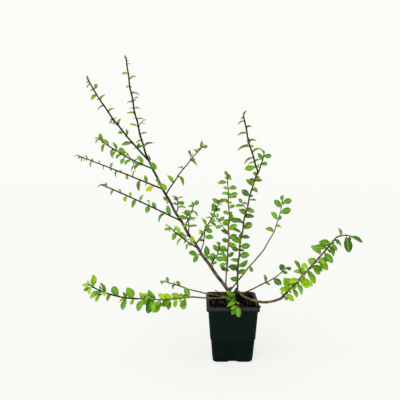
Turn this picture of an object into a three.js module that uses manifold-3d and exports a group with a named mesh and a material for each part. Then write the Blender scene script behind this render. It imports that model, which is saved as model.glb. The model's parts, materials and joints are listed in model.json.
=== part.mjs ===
// A young spreading cotoneaster in a square nursery pot: several stems from one low crown in the
// compost, with small oval leaves set alternately along thin, arching shoots.
// Millimetres, +Z up. The origin is the middle of the pot's flat underside, and the broad view of
// the plant looks along +Y.

import * as THREE from "three";
import { mergeVertices } from "three/addons/utils/BufferGeometryUtils.js";
import Module from "manifold-3d";

const wasm = await Module();
wasm.setup();

// Pot and compost

const POT = {
  height: 102,
  rimHalf: 45.9,
  rimCorner: 8,
  rimFace: 7.5,
  rimSlope: 2.5,
  footCorner: 7,
  footRound: 3.5,
  rimRound: 0.8,
  wall: 1.8,
  floor: 2.2,
  cornerSteps: 4,
};
// Half the pot's width by height, outside and inside, with the ledge above its narrower foot
const OUTSIDE = [[0, 34.9], [40, 38], [43, 39.3], [102, 43.4]];
const INSIDE = [[0, 33.1], [40, 36.2], [43, 37.5], [102, 40.5]];
const LEDGE = [40, 43];
const NOTCH = { half: 11, rise: 2, depth: 5, segments: 6 };
const DRAIN = { radius: 4, offset: 20, sides: 12 };
const COMPOST = {
  top: 93,
  lump: 1.8,
  edgeDrop: 2,
  room: 0.5,
  rings: [0.86, 0.72, 0.58, 0.44],
  levelRadius: 10,
  seed: 5,
};

// Clearance between touching pieces
const SEAT = 0.3;
// Shortest edge left on a fused piece
const SHORT_EDGE = 0.02;

// Crown: the short trunk at the compost, forking low into two heads

const CROWN = [
  { foot: [1, 0, 88], tip: [-1, 0, 109], radii: [4.4, 3.7], flare: 3 },
  { foot: [-1, 0, 105], tip: [-5, 0, 122], radii: [3.7, 3] },
  { foot: [-1, 0, 106], tip: [9, -2, 123], radii: [3, 2.8] },
  { foot: [-3, 0, 115], tip: [-2, 3, 125], radii: [2, 1.6] },
];

// Limbs: each grows from a foot of its own, or from its parent at a share of the parent's length.
// bow is how far the middle of the limb stands off the straight line from foot to tip.

const LIMBS = [
  {
    name: "main_limb", on: "crown", foot: [-5, 0, 117], tip: [-154, 35, 360],
    bow: [-7, 0, -5], radii: [2.9, 1.5],
  },
  {
    name: "centre_bough", on: "main_limb", at: 0.03, tip: [-10, 8, 147],
    radii: [1.2, 1.1],
  },
  {
    name: "upright_bough", on: "crown", foot: [9, -2, 120], tip: [9, -6, 135],
    radii: [1.6, 1.5],
  },
  {
    name: "thin_bough", on: "crown", foot: [-3, 2, 119], tip: [31, 28, 153],
    bow: [0, 0, -1], radii: [1.3, 1.25],
  },
  {
    name: "arch_bough", on: "crown", foot: [8, -3, 120], tip: [81, -38, 117],
    bow: [-1, 0, -13], radii: [2.3, 1.9],
  },
  {
    name: "low_bough", on: "arch_bough", at: 0.1, tip: [46, -37, 141],
    bow: [1, 0, -1], radii: [1, 0.9],
  },
  {
    name: "long_runner", on: "crown", foot: [-1, -2, 107], tip: [-70, -35, 119],
    bow: [0, 0, -2], radii: [1.4, 1.2],
  },
  {
    name: "short_runner", on: "crown", foot: [-1, 1, 105], tip: [-79, 35, 110],
    bow: [0, 0, -1], radii: [1.4, 1.1],
  },
  {
    name: "dry_twig", on: "crown", foot: [-1, 3, 102], tip: [-28, 20, 112],
    bow: [0, 0, 1], radii: [0.7, 0.5],
  },
];

// Habits of leafy growth: pitch is the distance between leaf joints, leaf the leaf length at the
// shoot's foot and tip, breadth the width over the length, twin the share of joints with a second
// small leaf, twigs the share with a short side twig, whorl the leaves round the tip, spread the
// angle off the stem in degrees, hang how far a leaf droops, and face the way its upper side looks.

const HABITS = {
  slender: {
    pitch: 13, leaf: [18, 10], breadth: 0.5, twin: 0.3, twigs: 0.12, whorl: 2,
    spread: 62, hang: 0.2, face: [0, -0.8, 0.6],
  },
  upright: {
    pitch: 9.2, leaf: [18, 16], breadth: 0.6, twin: 0.3, twigs: 0.1, whorl: 2,
    spread: 66, hang: 0.08, face: [0, -1, 0.5],
  },
  lush: {
    pitch: 7, leaf: [25, 22], breadth: 0.52, twin: 0.4, twigs: 0.14, whorl: 1,
    spread: 60, hang: 0.28, face: [0, -0.8, 0.6],
  },
  draped: {
    pitch: 7, leaf: [25, 22], breadth: 0.5, twin: 0.4, twigs: 0.14, whorl: 1,
    spread: 80, hang: 0.5, face: [0, -0.8, 0.6],
  },
  sparse: {
    pitch: 14, leaf: [18, 17], breadth: 0.6, twin: 0.15, twigs: 0, whorl: 1,
    spread: 58, hang: 0.1, face: [0, -1.1, 0.4],
  },
  tuft: {
    pitch: 7, leaf: [15, 13], breadth: 0.6, twin: 0.4, twigs: 0, whorl: 1,
    spread: 62, hang: 0.2, face: [0, -0.8, 0.6],
  },
};

// Leafy shoots, each with its habit, the bare share of its length and the turn of its first leaf.
// A shoot with a mass named is fused into that mass. set lists single leaves that stand out, with
// their share of the stem, their aim and their length.

const SHOOTS = [
  {
    name: "leader_spray", on: "main_limb", at: 1, tip: [-190, 65, 531], bow: [-4, 0, -1],
    radii: [1.6, 1.1], habit: "slender", bare: 0.04, turn: 200,
  },
  {
    name: "second_spray", on: "main_limb", at: 0.955, tip: [-236, -45, 482], bow: [-8, 0, 1],
    radii: [1.5, 1], habit: "slender", bare: 0.12, turn: 115,
  },
  {
    name: "third_spray", on: "main_limb", at: 0.9, tip: [-213, -80, 388], bow: [-6, 0, -1],
    radii: [1.25, 0.8], habit: "slender", bare: 0.12, turn: 95, pitch: 12,
    leaf: [16, 15],
  },
  {
    name: "fourth_spray", on: "main_limb", at: 0.76, tip: [-295, 120, 353], bow: [4, 0, -1],
    radii: [1.4, 0.9], habit: "slender", bare: 0.15, turn: 80, pitch: 14,
    set: [{ t: 0.1, aim: [-0.85, -0.3, -0.5], length: 18 }],
  },
  {
    name: "fifth_spray", on: "main_limb", at: 0.53, tip: [-210, -90, 318], bow: [-4, 0, 3],
    radii: [1.3, 0.9], habit: "slender", bare: 0.1, turn: 75, pitch: 15,
  },
  {
    name: "side_spray", on: "main_limb", at: 0.72, tip: [-53, 100, 370], bow: [-4, 0, 0],
    radii: [1.2, 0.8], habit: "slender", bare: 0.15, turn: 120, pitch: 20,
    leaf: [22, 15],
  },
  {
    name: "high_inner_shoot", on: "main_limb", at: 0.59, tip: [-98, 44, 274], bow: [2, 0, 0],
    radii: [0.9, 0.6], habit: "tuft", bare: 0.3, turn: 0,
  },
  {
    name: "mid_inner_shoot", on: "main_limb", at: 0.49, tip: [-68, 48, 266], bow: [1, 0, 0],
    radii: [0.9, 0.6], habit: "tuft", bare: 0.25, turn: 150,
  },
  {
    name: "mid_front_shoot", on: "main_limb", at: 0.44, tip: [-80, -15, 259], bow: [2, 0, 0],
    radii: [0.9, 0.6], habit: "tuft", bare: 0.3, turn: 150,
  },
  {
    name: "low_inner_shoot", on: "main_limb", at: 0.36, tip: [-21, 60, 269], bow: [1, 0, -2],
    radii: [1.1, 0.7], habit: "tuft", bare: 0.2, turn: 120, pitch: 8,
  },
  {
    name: "low_front_shoot", on: "main_limb", at: 0.33, tip: [-108, -45, 243], bow: [-2, 0, -1],
    radii: [1, 0.7], habit: "tuft", bare: 0.15, turn: 110, pitch: 9,
  },
  {
    name: "thin_inner_shoot", on: "main_limb", at: 0.3, tip: [-48, -30, 235], bow: [1, 0, 0],
    radii: [0.8, 0.6], habit: "tuft", bare: 0.45, turn: 0, pitch: 9,
  },
  {
    name: "foot_inner_shoot", on: "main_limb", at: 0.2, tip: [-24, -45, 208], bow: [2, 0, 0],
    radii: [0.9, 0.6], habit: "tuft", bare: 0.25, turn: 50, pitch: 8.5,
  },
  {
    name: "centre_spray", on: "centre_bough", at: 1, tip: [-6, 75, 318], bow: [4, 0, -2],
    radii: [1.15, 0.8], habit: "upright", bare: 0, turn: 0,
  },
  {
    name: "centre_side_twig", mass: "centre_spray", on: "centre_spray", at: 0.4,
    tip: [-27, 30, 246], radii: [0.8, 0.5], habit: "upright", bare: 0.4, turn: 0, leaf: [13, 12],
  },
  {
    name: "upright_spray", on: "upright_bough", at: 1, tip: [35, -65, 337], bow: [-7, 0, 3],
    radii: [1.5, 1.1], habit: "upright", bare: 0, turn: 0, leaf: [18, 15],
  },
  {
    name: "upright_tip_spray", on: "upright_spray", at: 1, tip: [10, -85, 423], bow: [-2, 0, 0],
    radii: [1.1, 0.9], habit: "slender", bare: 0.02, turn: 0, pitch: 10, leaf: [19, 12],
  },
  {
    name: "upright_fork_shoot", on: "upright_spray", at: 0.95, tip: [46, -52, 362], bow: [2, 0, 0],
    radii: [0.9, 0.6], habit: "tuft", bare: 0.3, turn: 0, leaf: [13, 11],
  },
  {
    name: "thin_spray", on: "thin_bough", at: 1, tip: [103, 100, 267], bow: [11, 0, -6],
    radii: [1.25, 0.8], habit: "sparse", bare: 0.52, turn: 135, leaf: [25, 17], pitch: 12,
    set: [{ t: 0.03, aim: [0.3, -0.4, -0.9], length: 12 }],
  },
  {
    name: "low_spray", on: "low_bough", at: 1, tip: [79, -90, 184], bow: [2, 0, -2],
    radii: [0.9, 0.6], habit: "sparse", bare: 0, turn: 85, pitch: 27,
  },
  {
    name: "arch_spray", on: "arch_bough", at: 1, tip: [163, -70, 230], bow: [2, 0, 0],
    radii: [1.9, 1.1], habit: "draped", bare: 0.02, turn: 80, pitch: 6.8,
  },
  {
    name: "arch_tip_spray", on: "arch_spray", at: 1, tip: [183, -75, 234], bow: [0, 0, 2],
    radii: [1.1, 0.7], habit: "draped", bare: 0.1, turn: 100, pitch: 9,
    set: [{ t: 0.12, aim: [0.75, -0.2, -0.75], length: 23 }],
  },
  {
    name: "runner_inner_spray", on: "long_runner", at: 1, tip: [-160, -65, 126], bow: [0, 0, -3],
    radii: [1.2, 0.9], habit: "lush", bare: 0, turn: 75, leaf: [20, 22], pitch: 7.5,
  },
  {
    name: "runner_outer_spray", on: "runner_inner_spray", at: 1, tip: [-233, -92, 158],
    bow: [-3, 0, -5], radii: [1.1, 0.8], habit: "lush", bare: 0, turn: 75, pitch: 12,
    leaf: [22, 17],
    set: [{ t: 0.96, aim: [0.45, -0.1, 0.9], length: 18 }],
  },
  {
    name: "short_runner_spray", on: "short_runner", at: 1, tip: [-125, 60, 117], bow: [0, 0, 1],
    radii: [1.1, 0.8], habit: "sparse", bare: 0.2, turn: 75, leaf: [14, 11],
  },
  {
    name: "rim_spray", on: "crown", foot: [0, -2, 108], tip: [5, -55, 109], bow: [1, 0, 3],
    radii: [0.9, 0.6], habit: "tuft", bare: 0.35, turn: 50, leaf: [12, 17], pitch: 9,
    set: [
      { t: 0.97, aim: [-0.5, -0.12, -0.85], length: 17 },
      { t: 0.99, aim: [0.2, -0.1, -1], length: 19 },
    ],
  },
  {
    name: "crown_shoot", on: "crown", foot: [-1, -1, 110], tip: [4, -19, 114], bow: [0, 0, 1],
    radii: [0.8, 0.5], habit: "tuft", bare: 0.4, turn: 0, leaf: [11, 10],
    set: [{ t: 0.97, aim: [-0.75, -0.1, 0.5], length: 18 }],
  },
];

// Spurs: short side buds with a few leaves, set straight on the main limb. The highest ones, from
// fallenFrom on, also have a leaf that falls back over the limb.
const SPURS = {
  length: 9,
  lean: 45,
  at: [0.18, 0.235, 0.28, 0.42, 0.66, 0.78, 0.92],
  turn: [180, 230, 330, 320, 300, 265, 260],
  leaf: [15, 20, 18, 15, 13, 15, 15],
  fallen: { t: 0.95, aim: [0.65, -0.3, -0.6], length: 18 },
  fallenFrom: 5,
  growth: { radii: [0.9, 0.6], habit: "tuft", bare: 0.4, turn: 90 },
};

const SWAY = { size: 0.7, wave: 45 };
const STEM = { step: 15, stout: 1.15, stoutSides: 6, thinSides: 3 };
const TWIG = {
  length: [8, 14],
  radii: [0.6, 0.4],
  rise: 48,
  leafShare: 0.8,
  habit: { pitch: 5, bare: 0.45, twigs: 0, twin: 0, whorl: 0, set: [] },
};

// Leaves: sunk is the share of the stem's radius by which a leaf starts beyond the stem's axis, and
// each loose value is how far chance moves what it names.
const LEAF = {
  thick: 0.7,
  sunk: 0.4,
  faceLoose: 0.6,
  sizeLoose: 0.26,
  leanLoose: 16,
  twinSize: 0.55,
  endAt: 0.99,
  endLean: 14,
  whorlAt: 0.97,
  whorlSize: 0.8,
  whorlStep: 130,
};
// Joints along a stem, with the pitches left free at its foot and tip
const JOINT = { first: 0.5, last: 0.3, pitchLoose: 0.3, turnStep: 180, turnLoose: 36 };
// Room kept between masses: the gap, and the part of a leaf or twig that is tested for it
const ROOM = { gap: 0.5, leafFrom: 0.25, leafTo: 0.95, leafRadius: 0.36, twigFrom: 0.3 };
// First seeds of the limbs, shoots and spurs, and the step from a stem's seed to its leaves' seed
const SEEDS = { limb: 1, shoot: 21, spur: 61, leaves: 6, twig: 1 };

const FINISHES = {
  pot: { color: 0x101c1e, roughness: 0.45 },
  compost: { color: 0x17120e, roughness: 0.95 },
  bark: { color: 0x6b4a30, roughness: 0.8 },
  leaf: { color: 0x58a01c, roughness: 0.5 },
};

function seeded(seed) {
  let state = (seed * 2654435) % 4294967296;
  const next = () => {
    state = (state * 1664525 + 1013904223) % 4294967296;
    return state / 4294967296;
  };
  next();
  next();
  return next;
}

const vector = (values) => new THREE.Vector3(...values);

// A curve from foot to tip with a bow and a slight sway, and a radius that falls evenly.
class Limb extends THREE.Curve {
  constructor({ foot, tip, bow = [0, 0, 0], radii, flare = 0 }, seed) {
    super();
    this.foot = vector(foot);
    this.tip = vector(tip);
    this.bow = vector(bow);
    this.radii = radii;
    this.flare = flare;
    this.span = this.foot.distanceTo(this.tip);
    this.heading = this.tip.clone().sub(this.foot).normalize();
    this.reference = Math.abs(this.heading.z) > 0.8 ? vector([0, 1, 0]) : vector([0, 0, 1]);
    this.swaySide = this.heading.clone().cross(this.reference).normalize();
    const random = seeded(seed);
    this.phase = random() * 2 * Math.PI;
  }

  getPoint(t) {
    const arch = 4 * t * (1 - t);
    const wave = Math.sin((2 * Math.PI * t * this.span) / SWAY.wave + this.phase);
    return this.foot
      .clone()
      .lerp(this.tip, t)
      .addScaledVector(this.bow, arch)
      .addScaledVector(this.swaySide, SWAY.size * arch * wave);
  }

  radiusAt(t) {
    return THREE.MathUtils.lerp(this.radii[0], this.radii[1], t) + this.flare * (1 - t) ** 3;
  }

  frameAt(t) {
    const along = this.getTangent(t);
    const side = along.clone().cross(this.reference).normalize();
    const lift = side.clone().cross(along);
    return { centre: this.getPoint(t), along, side, lift };
  }
}

// A closed solid from a closed geometry.
function solidOf(geometry) {
  geometry.deleteAttribute("normal");
  geometry.deleteAttribute("uv");
  const merged = mergeVertices(geometry, 1e-4);
  return new wasm.Manifold(
    new wasm.Mesh({
      numProp: 3,
      vertProperties: merged.attributes.position.array,
      triVerts: new Uint32Array(merged.index.array),
    }),
  );
}

const fuse = (solids) => solids.reduce((whole, solid) => whole.add(solid));

// The largest body of a solid, without loose scraps or sealed hollows.
function largestBody(solid) {
  return solid.decompose().reduce((best, body) => (body.volume() > best.volume() ? body : best));
}

// The geometry of a solid, with vertices closer than SHORT_EDGE along an edge drawn into one.
function geometryOf(solid) {
  const { vertProperties, triVerts } = solid.getMesh();
  const at = (i) => new THREE.Vector3().fromArray(vertProperties, 3 * i);
  const home = Array.from({ length: vertProperties.length / 3 }, (_, i) => i);
  const homeOf = (i) => (home[i] === i ? i : homeOf(home[i]));
  const count = triVerts.length / 3;
  const corners = Array.from({ length: count }, (_, i) => [...triVerts.slice(3 * i, 3 * i + 3)]);
  for (const [a, b, c] of corners) {
    for (const [from, to] of [[a, b], [b, c], [c, a]]) {
      if (at(from).distanceTo(at(to)) < SHORT_EDGE) home[homeOf(to)] = homeOf(from);
    }
  }
  const drawn = corners.map((corner) => corner.map(homeOf));
  const faces = drawn.filter(([a, b, c]) => a !== b && b !== c && c !== a);
  const place = new THREE.BufferAttribute(new Float32Array(vertProperties), 3);
  const geometry = new THREE.BufferGeometry();
  geometry.setAttribute("position", place);
  geometry.setIndex(faces.flat());
  return geometry.toNonIndexed();
}

// A cylinder bent along a limb. extra widens it all round and at both ends.
function limbSolid(limb, extra = 0) {
  const sides = limb.radii[0] > STEM.stout ? STEM.stoutSides : STEM.thinSides;
  const steps = Math.max(2, Math.ceil(limb.span / STEM.step));
  const geometry = new THREE.CylinderGeometry(1, 1, 1, sides, steps);
  const place = geometry.attributes.position;
  const widen = extra / Math.cos(Math.PI / sides);
  for (let i = 0; i < place.count; i++) {
    const t = place.getY(i) + 0.5;
    const { centre, along, side, lift } = limb.frameAt(t);
    const radius = limb.radiusAt(t) + widen;
    const end = t < 1e-6 ? -extra : t > 1 - 1e-6 ? extra : 0;
    centre
      .addScaledVector(side, radius * place.getX(i))
      .addScaledVector(lift, radius * place.getZ(i))
      .addScaledVector(along, end);
    place.setXYZ(i, centre.x, centre.y, centre.z);
  }
  return solidOf(geometry);
}

// A leaf as a flat bipyramid of eight faces that starts on the stem's axis.
function leafSolid({ foot, axis, face, length, width }) {
  const across = axis.clone().cross(face);
  const geometry = new THREE.SphereGeometry(1, 4, 2);
  const place = geometry.attributes.position;
  for (let i = 0; i < place.count; i++) {
    const point = foot
      .clone()
      .addScaledVector(axis, ((place.getX(i) + 1) / 2) * length)
      .addScaledVector(across, (place.getZ(i) * width) / 2)
      .addScaledVector(face, (place.getY(i) * LEAF.thick) / 2);
    place.setXYZ(i, point.x, point.y, point.z);
  }
  return solidOf(geometry);
}

// Space taken by stems and leaves, as rods between two points with a radius

const taken = [];

function takeLimb(node, limb) {
  const steps = Math.max(2, Math.ceil(limb.span / STEM.step));
  for (let i = 0; i < steps; i++) {
    const [a, b] = [limb.getPoint(i / steps), limb.getPoint((i + 1) / steps)];
    taken.push({ node, a, b, radius: limb.radiusAt(i / steps) });
  }
}

function leafRod(node, { foot, axis, length, width }) {
  const a = foot.clone().addScaledVector(axis, ROOM.leafFrom * length);
  const b = foot.clone().addScaledVector(axis, ROOM.leafTo * length);
  return { node, a, b, radius: ROOM.leafRadius * width };
}

// Distance between the segments p and q.
function segmentGap(p, q) {
  const [u, v] = [p.b.clone().sub(p.a), q.b.clone().sub(q.a)];
  const w = p.a.clone().sub(q.a);
  const [uu, uv, vv, uw, vw] = [u.dot(u), u.dot(v), v.dot(v), u.dot(w), v.dot(w)];
  const slack = uu * vv - uv * uv;
  const clamp = THREE.MathUtils.clamp;
  let s = slack > 1e-9 ? clamp((uv * vw - vv * uw) / slack, 0, 1) : 0;
  const t = clamp((uv * s + vw) / vv, 0, 1);
  s = clamp((uv * t - uw) / uu, 0, 1);
  return p.a.clone().addScaledVector(u, s).distanceTo(q.a.clone().addScaledVector(v, t));
}

function inPot(point, room) {
  const half = POT.rimHalf + room;
  return Math.abs(point.x) < half && Math.abs(point.y) < half && point.z < POT.height + room;
}

function fits(rod) {
  if (inPot(rod.a, rod.radius) || inPot(rod.b, rod.radius)) return false;
  const others = taken.filter((other) => other.node !== rod.node);
  return others.every((other) => segmentGap(rod, other) > rod.radius + other.radius + ROOM.gap);
}

// The direction off a stem with a turn about it and a lean off its own line, in degrees.
function aimOff({ along, side, lift }, turn, lean) {
  const [bearing, tilt] = [turn, lean].map(THREE.MathUtils.degToRad);
  return side
    .clone()
    .multiplyScalar(Math.cos(bearing))
    .addScaledVector(lift, Math.sin(bearing))
    .multiplyScalar(Math.sin(tilt))
    .addScaledVector(along, Math.cos(tilt));
}

// One leaf at a share of a stem.
function leafAt(limb, habit, random, t, turn, size, lean) {
  const frame = limb.frameAt(t);
  const { centre } = frame;
  const axis = aimOff(frame, turn, lean);
  axis.z -= habit.hang;
  axis.normalize();
  const jitter = vector([random() - 0.5, random() - 0.5, random() - 0.5]);
  const face = vector(habit.face).addScaledVector(jitter, 2 * LEAF.faceLoose);
  face.addScaledVector(axis, -face.dot(axis)).normalize();
  const length = size * (1 + LEAF.sizeLoose * (2 * random() - 1));
  const foot = centre.addScaledVector(axis, -LEAF.sunk * limb.radiusAt(t));
  return { foot, axis, face, length, width: length * habit.breadth };
}

// A short side twig at a share of a stem.
function twigAt(limb, random, t, turn) {
  const frame = limb.frameAt(t);
  const length = THREE.MathUtils.lerp(...TWIG.length, random());
  const tip = frame.centre.clone().addScaledVector(aimOff(frame, turn, TWIG.rise), length);
  const ends = { foot: frame.centre.toArray(), tip: tip.toArray() };
  return new Limb({ ...ends, radii: TWIG.radii }, SEEDS.twig);
}

// Growth along one stem: alternate joints from its bare foot to its tip, each with a leaf and now
// and then a second leaf or a side twig, then an end leaf, its whorl and the leaves that are set.
function grow(limb, habit, random) {
  const leaves = [];
  const twigs = [];
  const either = () => 2 * random() - 1;
  const leaf = (t, turn, size, lean) => {
    leaves.push(leafAt(limb, habit, random, t, turn, size, lean));
  };
  const pitch = habit.pitch / limb.span;
  let turn = habit.turn;
  let t = habit.bare + JOINT.first * pitch;
  while (t < 1 - JOINT.last * pitch) {
    const size = THREE.MathUtils.lerp(...habit.leaf, t);
    const own = turn + JOINT.turnLoose * either();
    leaf(t, own, size, habit.spread + LEAF.leanLoose * either());
    const other = own + 90 + 180 * random();
    const chance = random();
    if (chance < habit.twigs) twigs.push(twigAt(limb, random, t, other));
    else if (chance < habit.twigs + habit.twin) leaf(t, other, size * LEAF.twinSize, habit.spread);
    turn += JOINT.turnStep;
    t += pitch * (1 + JOINT.pitchLoose * either());
  }
  const last = habit.leaf[1];
  leaf(LEAF.endAt, turn, last, LEAF.endLean);
  for (let i = 1; i <= habit.whorl; i++) {
    leaf(LEAF.whorlAt, turn + i * LEAF.whorlStep, last * LEAF.whorlSize, habit.spread);
  }
  for (const { t: share, aim, length } of habit.set ?? []) {
    const axis = vector(aim).normalize();
    const face = vector([0, -1, 0]).addScaledVector(axis, axis.y).normalize();
    leaves.push({ foot: limb.getPoint(share), axis, face, length, width: length * habit.breadth });
  }
  return { leaves, twigs };
}

function potRing(half, corner, z) {
  const points = [];
  for (let quarter = 0; quarter < 4; quarter++) {
    const middle = (quarter + 0.5) * (Math.PI / 2);
    const away = half - corner;
    const centre = [away * Math.sign(Math.cos(middle)), away * Math.sign(Math.sin(middle))];
    for (let step = 0; step <= POT.cornerSteps; step++) {
      const angle = (quarter + step / POT.cornerSteps) * (Math.PI / 2);
      points.push(vector([centre[0] + corner * Math.cos(angle), centre[1] + corner * Math.sin(angle), z]));
    }
  }
  return points;
}

// A closed skin over rings of equal count, from the first ring's middle to the last one's.
function loft(rings) {
  const count = rings[0].length;
  const sumOf = (ring) => ring.reduce((sum, point) => sum.add(point), vector([0, 0, 0]));
  const middleOf = (ring) => sumOf(ring).divideScalar(count);
  const points = [middleOf(rings[0]), ...rings.flat(), middleOf(rings.at(-1))];
  const last = points.length - 1;
  const faces = [];
  for (let j = 0; j < count; j++) {
    const next = (j + 1) % count;
    faces.push(0, 1 + next, 1 + j);
    for (let i = 0; i < rings.length - 1; i++) {
      const [low, high] = [1 + i * count, 1 + (i + 1) * count];
      faces.push(low + j, low + next, high + next, low + j, high + next, high + j);
    }
    faces.push(last, last - count + j, last - count + next);
  }
  const geometry = new THREE.BufferGeometry().setFromPoints(points);
  geometry.setIndex(faces);
  return solidOf(geometry);
}

// Half the pot's width at a height.
function halfAt(profile, z) {
  const i = Math.max(1, profile.findIndex(([height]) => height >= z));
  const [[low, from], [high, to]] = [profile[i - 1], profile[i]];
  return THREE.MathUtils.mapLinear(z, low, high, from, to);
}

const potCornerAt = (z) => THREE.MathUtils.lerp(POT.footCorner, POT.rimCorner - 1, z / POT.height);

function potSolid() {
  const { height, rimHalf, rimCorner, rimRound, footCorner, footRound } = POT;
  const [footHalf, rimInside] = [halfAt(OUTSIDE, 0), halfAt(INSIDE, height)];
  const lip = height - POT.rimFace;
  const underRim = lip - POT.rimSlope;
  const rings = [potRing(footHalf - footRound, footCorner - POT.wall, 0)];
  for (const angle of [0.15, 0.35, 0.5].map((share) => share * Math.PI)) {
    const half = footHalf - footRound * (1 - Math.sin(angle));
    rings.push(potRing(half, footCorner, footRound * (1 - Math.cos(angle))));
  }
  for (const z of [...LEDGE, underRim]) rings.push(potRing(halfAt(OUTSIDE, z), potCornerAt(z), z));
  rings.push(potRing(rimHalf - rimRound, rimCorner, lip));
  rings.push(potRing(rimHalf, rimCorner, lip + rimRound));
  rings.push(potRing(rimHalf, rimCorner, height - rimRound));
  rings.push(potRing(rimHalf - rimRound, rimCorner, height));
  rings.push(potRing(rimInside + rimRound, rimCorner - POT.wall, height));
  rings.push(potRing(rimInside, rimCorner - POT.wall, height - rimRound));
  for (const z of [...LEDGE.toReversed(), POT.floor]) {
    rings.push(potRing(halfAt(INSIDE, z), potCornerAt(z) - 1, z));
  }
  const holes = [];
  for (const x of [-1, 1]) {
    for (const y of [-1, 1]) {
      const hole = new THREE.CylinderGeometry(DRAIN.radius, DRAIN.radius, 3 * POT.floor, DRAIN.sides);
      hole.rotateX(Math.PI / 2).translate(x * DRAIN.offset, y * DRAIN.offset, POT.floor / 2);
      holes.push(solidOf(hole));
    }
  }
  for (let side = 0; side < 4; side++) {
    const arch = new THREE.Shape();
    arch.moveTo(-NOTCH.half, -1);
    arch.lineTo(-NOTCH.half, 0);
    arch.quadraticCurveTo(0, 2 * NOTCH.rise, NOTCH.half, 0);
    arch.lineTo(NOTCH.half, -1);
    arch.closePath();
    const sweep = { depth: 2 * NOTCH.depth, bevelEnabled: false, curveSegments: NOTCH.segments };
    const notch = new THREE.ExtrudeGeometry(arch, sweep);
    notch.rotateX(Math.PI / 2).translate(0, -footHalf + NOTCH.depth, 0);
    notch.rotateZ((side * Math.PI) / 2);
    holes.push(solidOf(notch));
  }
  return loft(rings).subtract(fuse(holes));
}

function compostSolid() {
  const random = seeded(COMPOST.seed);
  const inside = (z) => halfAt(INSIDE, z) - COMPOST.room;
  const bottom = POT.floor + SEAT;
  const edge = COMPOST.top - COMPOST.edgeDrop;
  const rings = [bottom, ...LEDGE, edge].map((z) => potRing(inside(z), potCornerAt(z) - 1, z));
  for (const share of COMPOST.rings) {
    const ring = potRing(share * inside(edge), share * potCornerAt(edge), COMPOST.top);
    for (const point of ring) point.z += COMPOST.lump * (random() - 0.6);
    rings.push(ring);
  }
  rings.push(potRing(COMPOST.levelRadius, 0.6 * COMPOST.levelRadius, COMPOST.top));
  return loft(rings);
}

// Building the plant

const plant = new THREE.Group();

function addMesh(name, solid, finish) {
  const mesh = new THREE.Mesh(geometryOf(solid), new THREE.MeshStandardMaterial(FINISHES[finish]));
  mesh.name = name;
  plant.add(mesh);
}

// Every limb by name, with the node it belongs to and its parent
const grown = new Map();

function growLimb(spec, seed) {
  const parent = grown.get(spec.on);
  let foot = spec.foot;
  if (!foot) {
    const { centre, along } = parent.limb.frameAt(spec.at);
    if (spec.at === 1) centre.addScaledVector(along, SEAT);
    foot = centre.toArray();
  }
  const limb = new Limb({ ...spec, foot }, seed);
  grown.set(spec.name, { limb, node: spec.mass ?? spec.name, parent: spec.on, spec, seed });
}

function growSpur(at, i) {
  const frame = grown.get("main_limb").limb.frameAt(at);
  const aim = aimOff(frame, SPURS.turn[i], SPURS.lean);
  const tip = frame.centre.addScaledVector(aim, SPURS.length).toArray();
  const leaf = [SPURS.leaf[i], SPURS.leaf[i]];
  const set = i < SPURS.fallenFrom ? [] : [SPURS.fallen];
  const spec = { ...SPURS.growth, name: "spur_" + (i + 1), on: "main_limb", at, tip, leaf, set };
  growLimb(spec, SEEDS.spur + i);
}

const crownLimbs = CROWN.map((spec, i) => new Limb(spec, SEEDS.limb + i));
const crownSolid = (extra) => fuse(crownLimbs.map((limb) => limbSolid(limb, extra)));
// What lies under the flat cut of the crown
const under = new THREE.BoxGeometry(60, 60, 40).translate(0, 0, COMPOST.top + SEAT - 20);

for (const limb of crownLimbs) takeLimb("crown", limb);
LIMBS.forEach((spec, i) => growLimb(spec, SEEDS.limb + i));
SHOOTS.forEach((spec, i) => growLimb(spec, SEEDS.shoot + i));
SPURS.at.forEach(growSpur);
for (const { node, limb } of grown.values()) takeLimb(node, limb);

addMesh("pot", potSolid(), "pot");
addMesh("compost", compostSolid(), "compost");
addMesh("crown", crownSolid(0).subtract(solidOf(under)), "bark");

// Adds the leaves of one stem, then its side twigs with theirs, each where it has room.
function leafOut(node, limb, habit, random, pieces) {
  const { leaves, twigs } = grow(limb, habit, random);
  for (const leaf of leaves) {
    const rod = leafRod(node, leaf);
    if (!fits(rod)) continue;
    taken.push(rod);
    pieces.push(leafSolid(leaf));
  }
  for (const twig of twigs) {
    const [a, b] = [twig.getPoint(ROOM.twigFrom), twig.getPoint(1)];
    const rod = { node, a, b, radius: TWIG.radii[0] };
    if (!fits(rod)) continue;
    taken.push(rod);
    pieces.push(limbSolid(twig));
    const leaf = habit.leaf.map((length) => length * TWIG.leafShare);
    leafOut(node, twig, { ...habit, ...TWIG.habit, leaf }, random, pieces);
  }
}

const nodes = new Map();
for (const { limb, node, spec, seed } of grown.values()) {
  const pieces = nodes.get(node) ?? [];
  pieces.push(limbSolid(limb));
  const random = seeded(seed + SEEDS.leaves);
  if (spec.habit) leafOut(node, limb, { ...HABITS[spec.habit], ...spec }, random, pieces);
  nodes.set(node, pieces);
}

for (const [name, pieces] of nodes) {
  const { parent, spec } = grown.get(name);
  const carrier = grown.get(parent);
  const room = carrier ? limbSolid(carrier.limb, SEAT) : crownSolid(SEAT);
  addMesh(name, largestBody(fuse(pieces).subtract(room)), spec.habit ? "leaf" : "bark");
}

export default plant;
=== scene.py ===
"""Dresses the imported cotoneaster: bark, leaves and buds on the plant, a moulded pot, and compost.

Sizes are in millimetres and turn into metres where a mesh is made; the finishes are in metres. The
plant looks along +Y in its broad view, with the origin in the middle of the pot's flat underside.
"""

import json
import logging
import math
from dataclasses import dataclass, field, replace
from enum import Enum
from typing import Any, Iterable, Sequence

import bmesh
import bpy
import numpy as np
from mathutils import Matrix, Vector, noise

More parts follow.
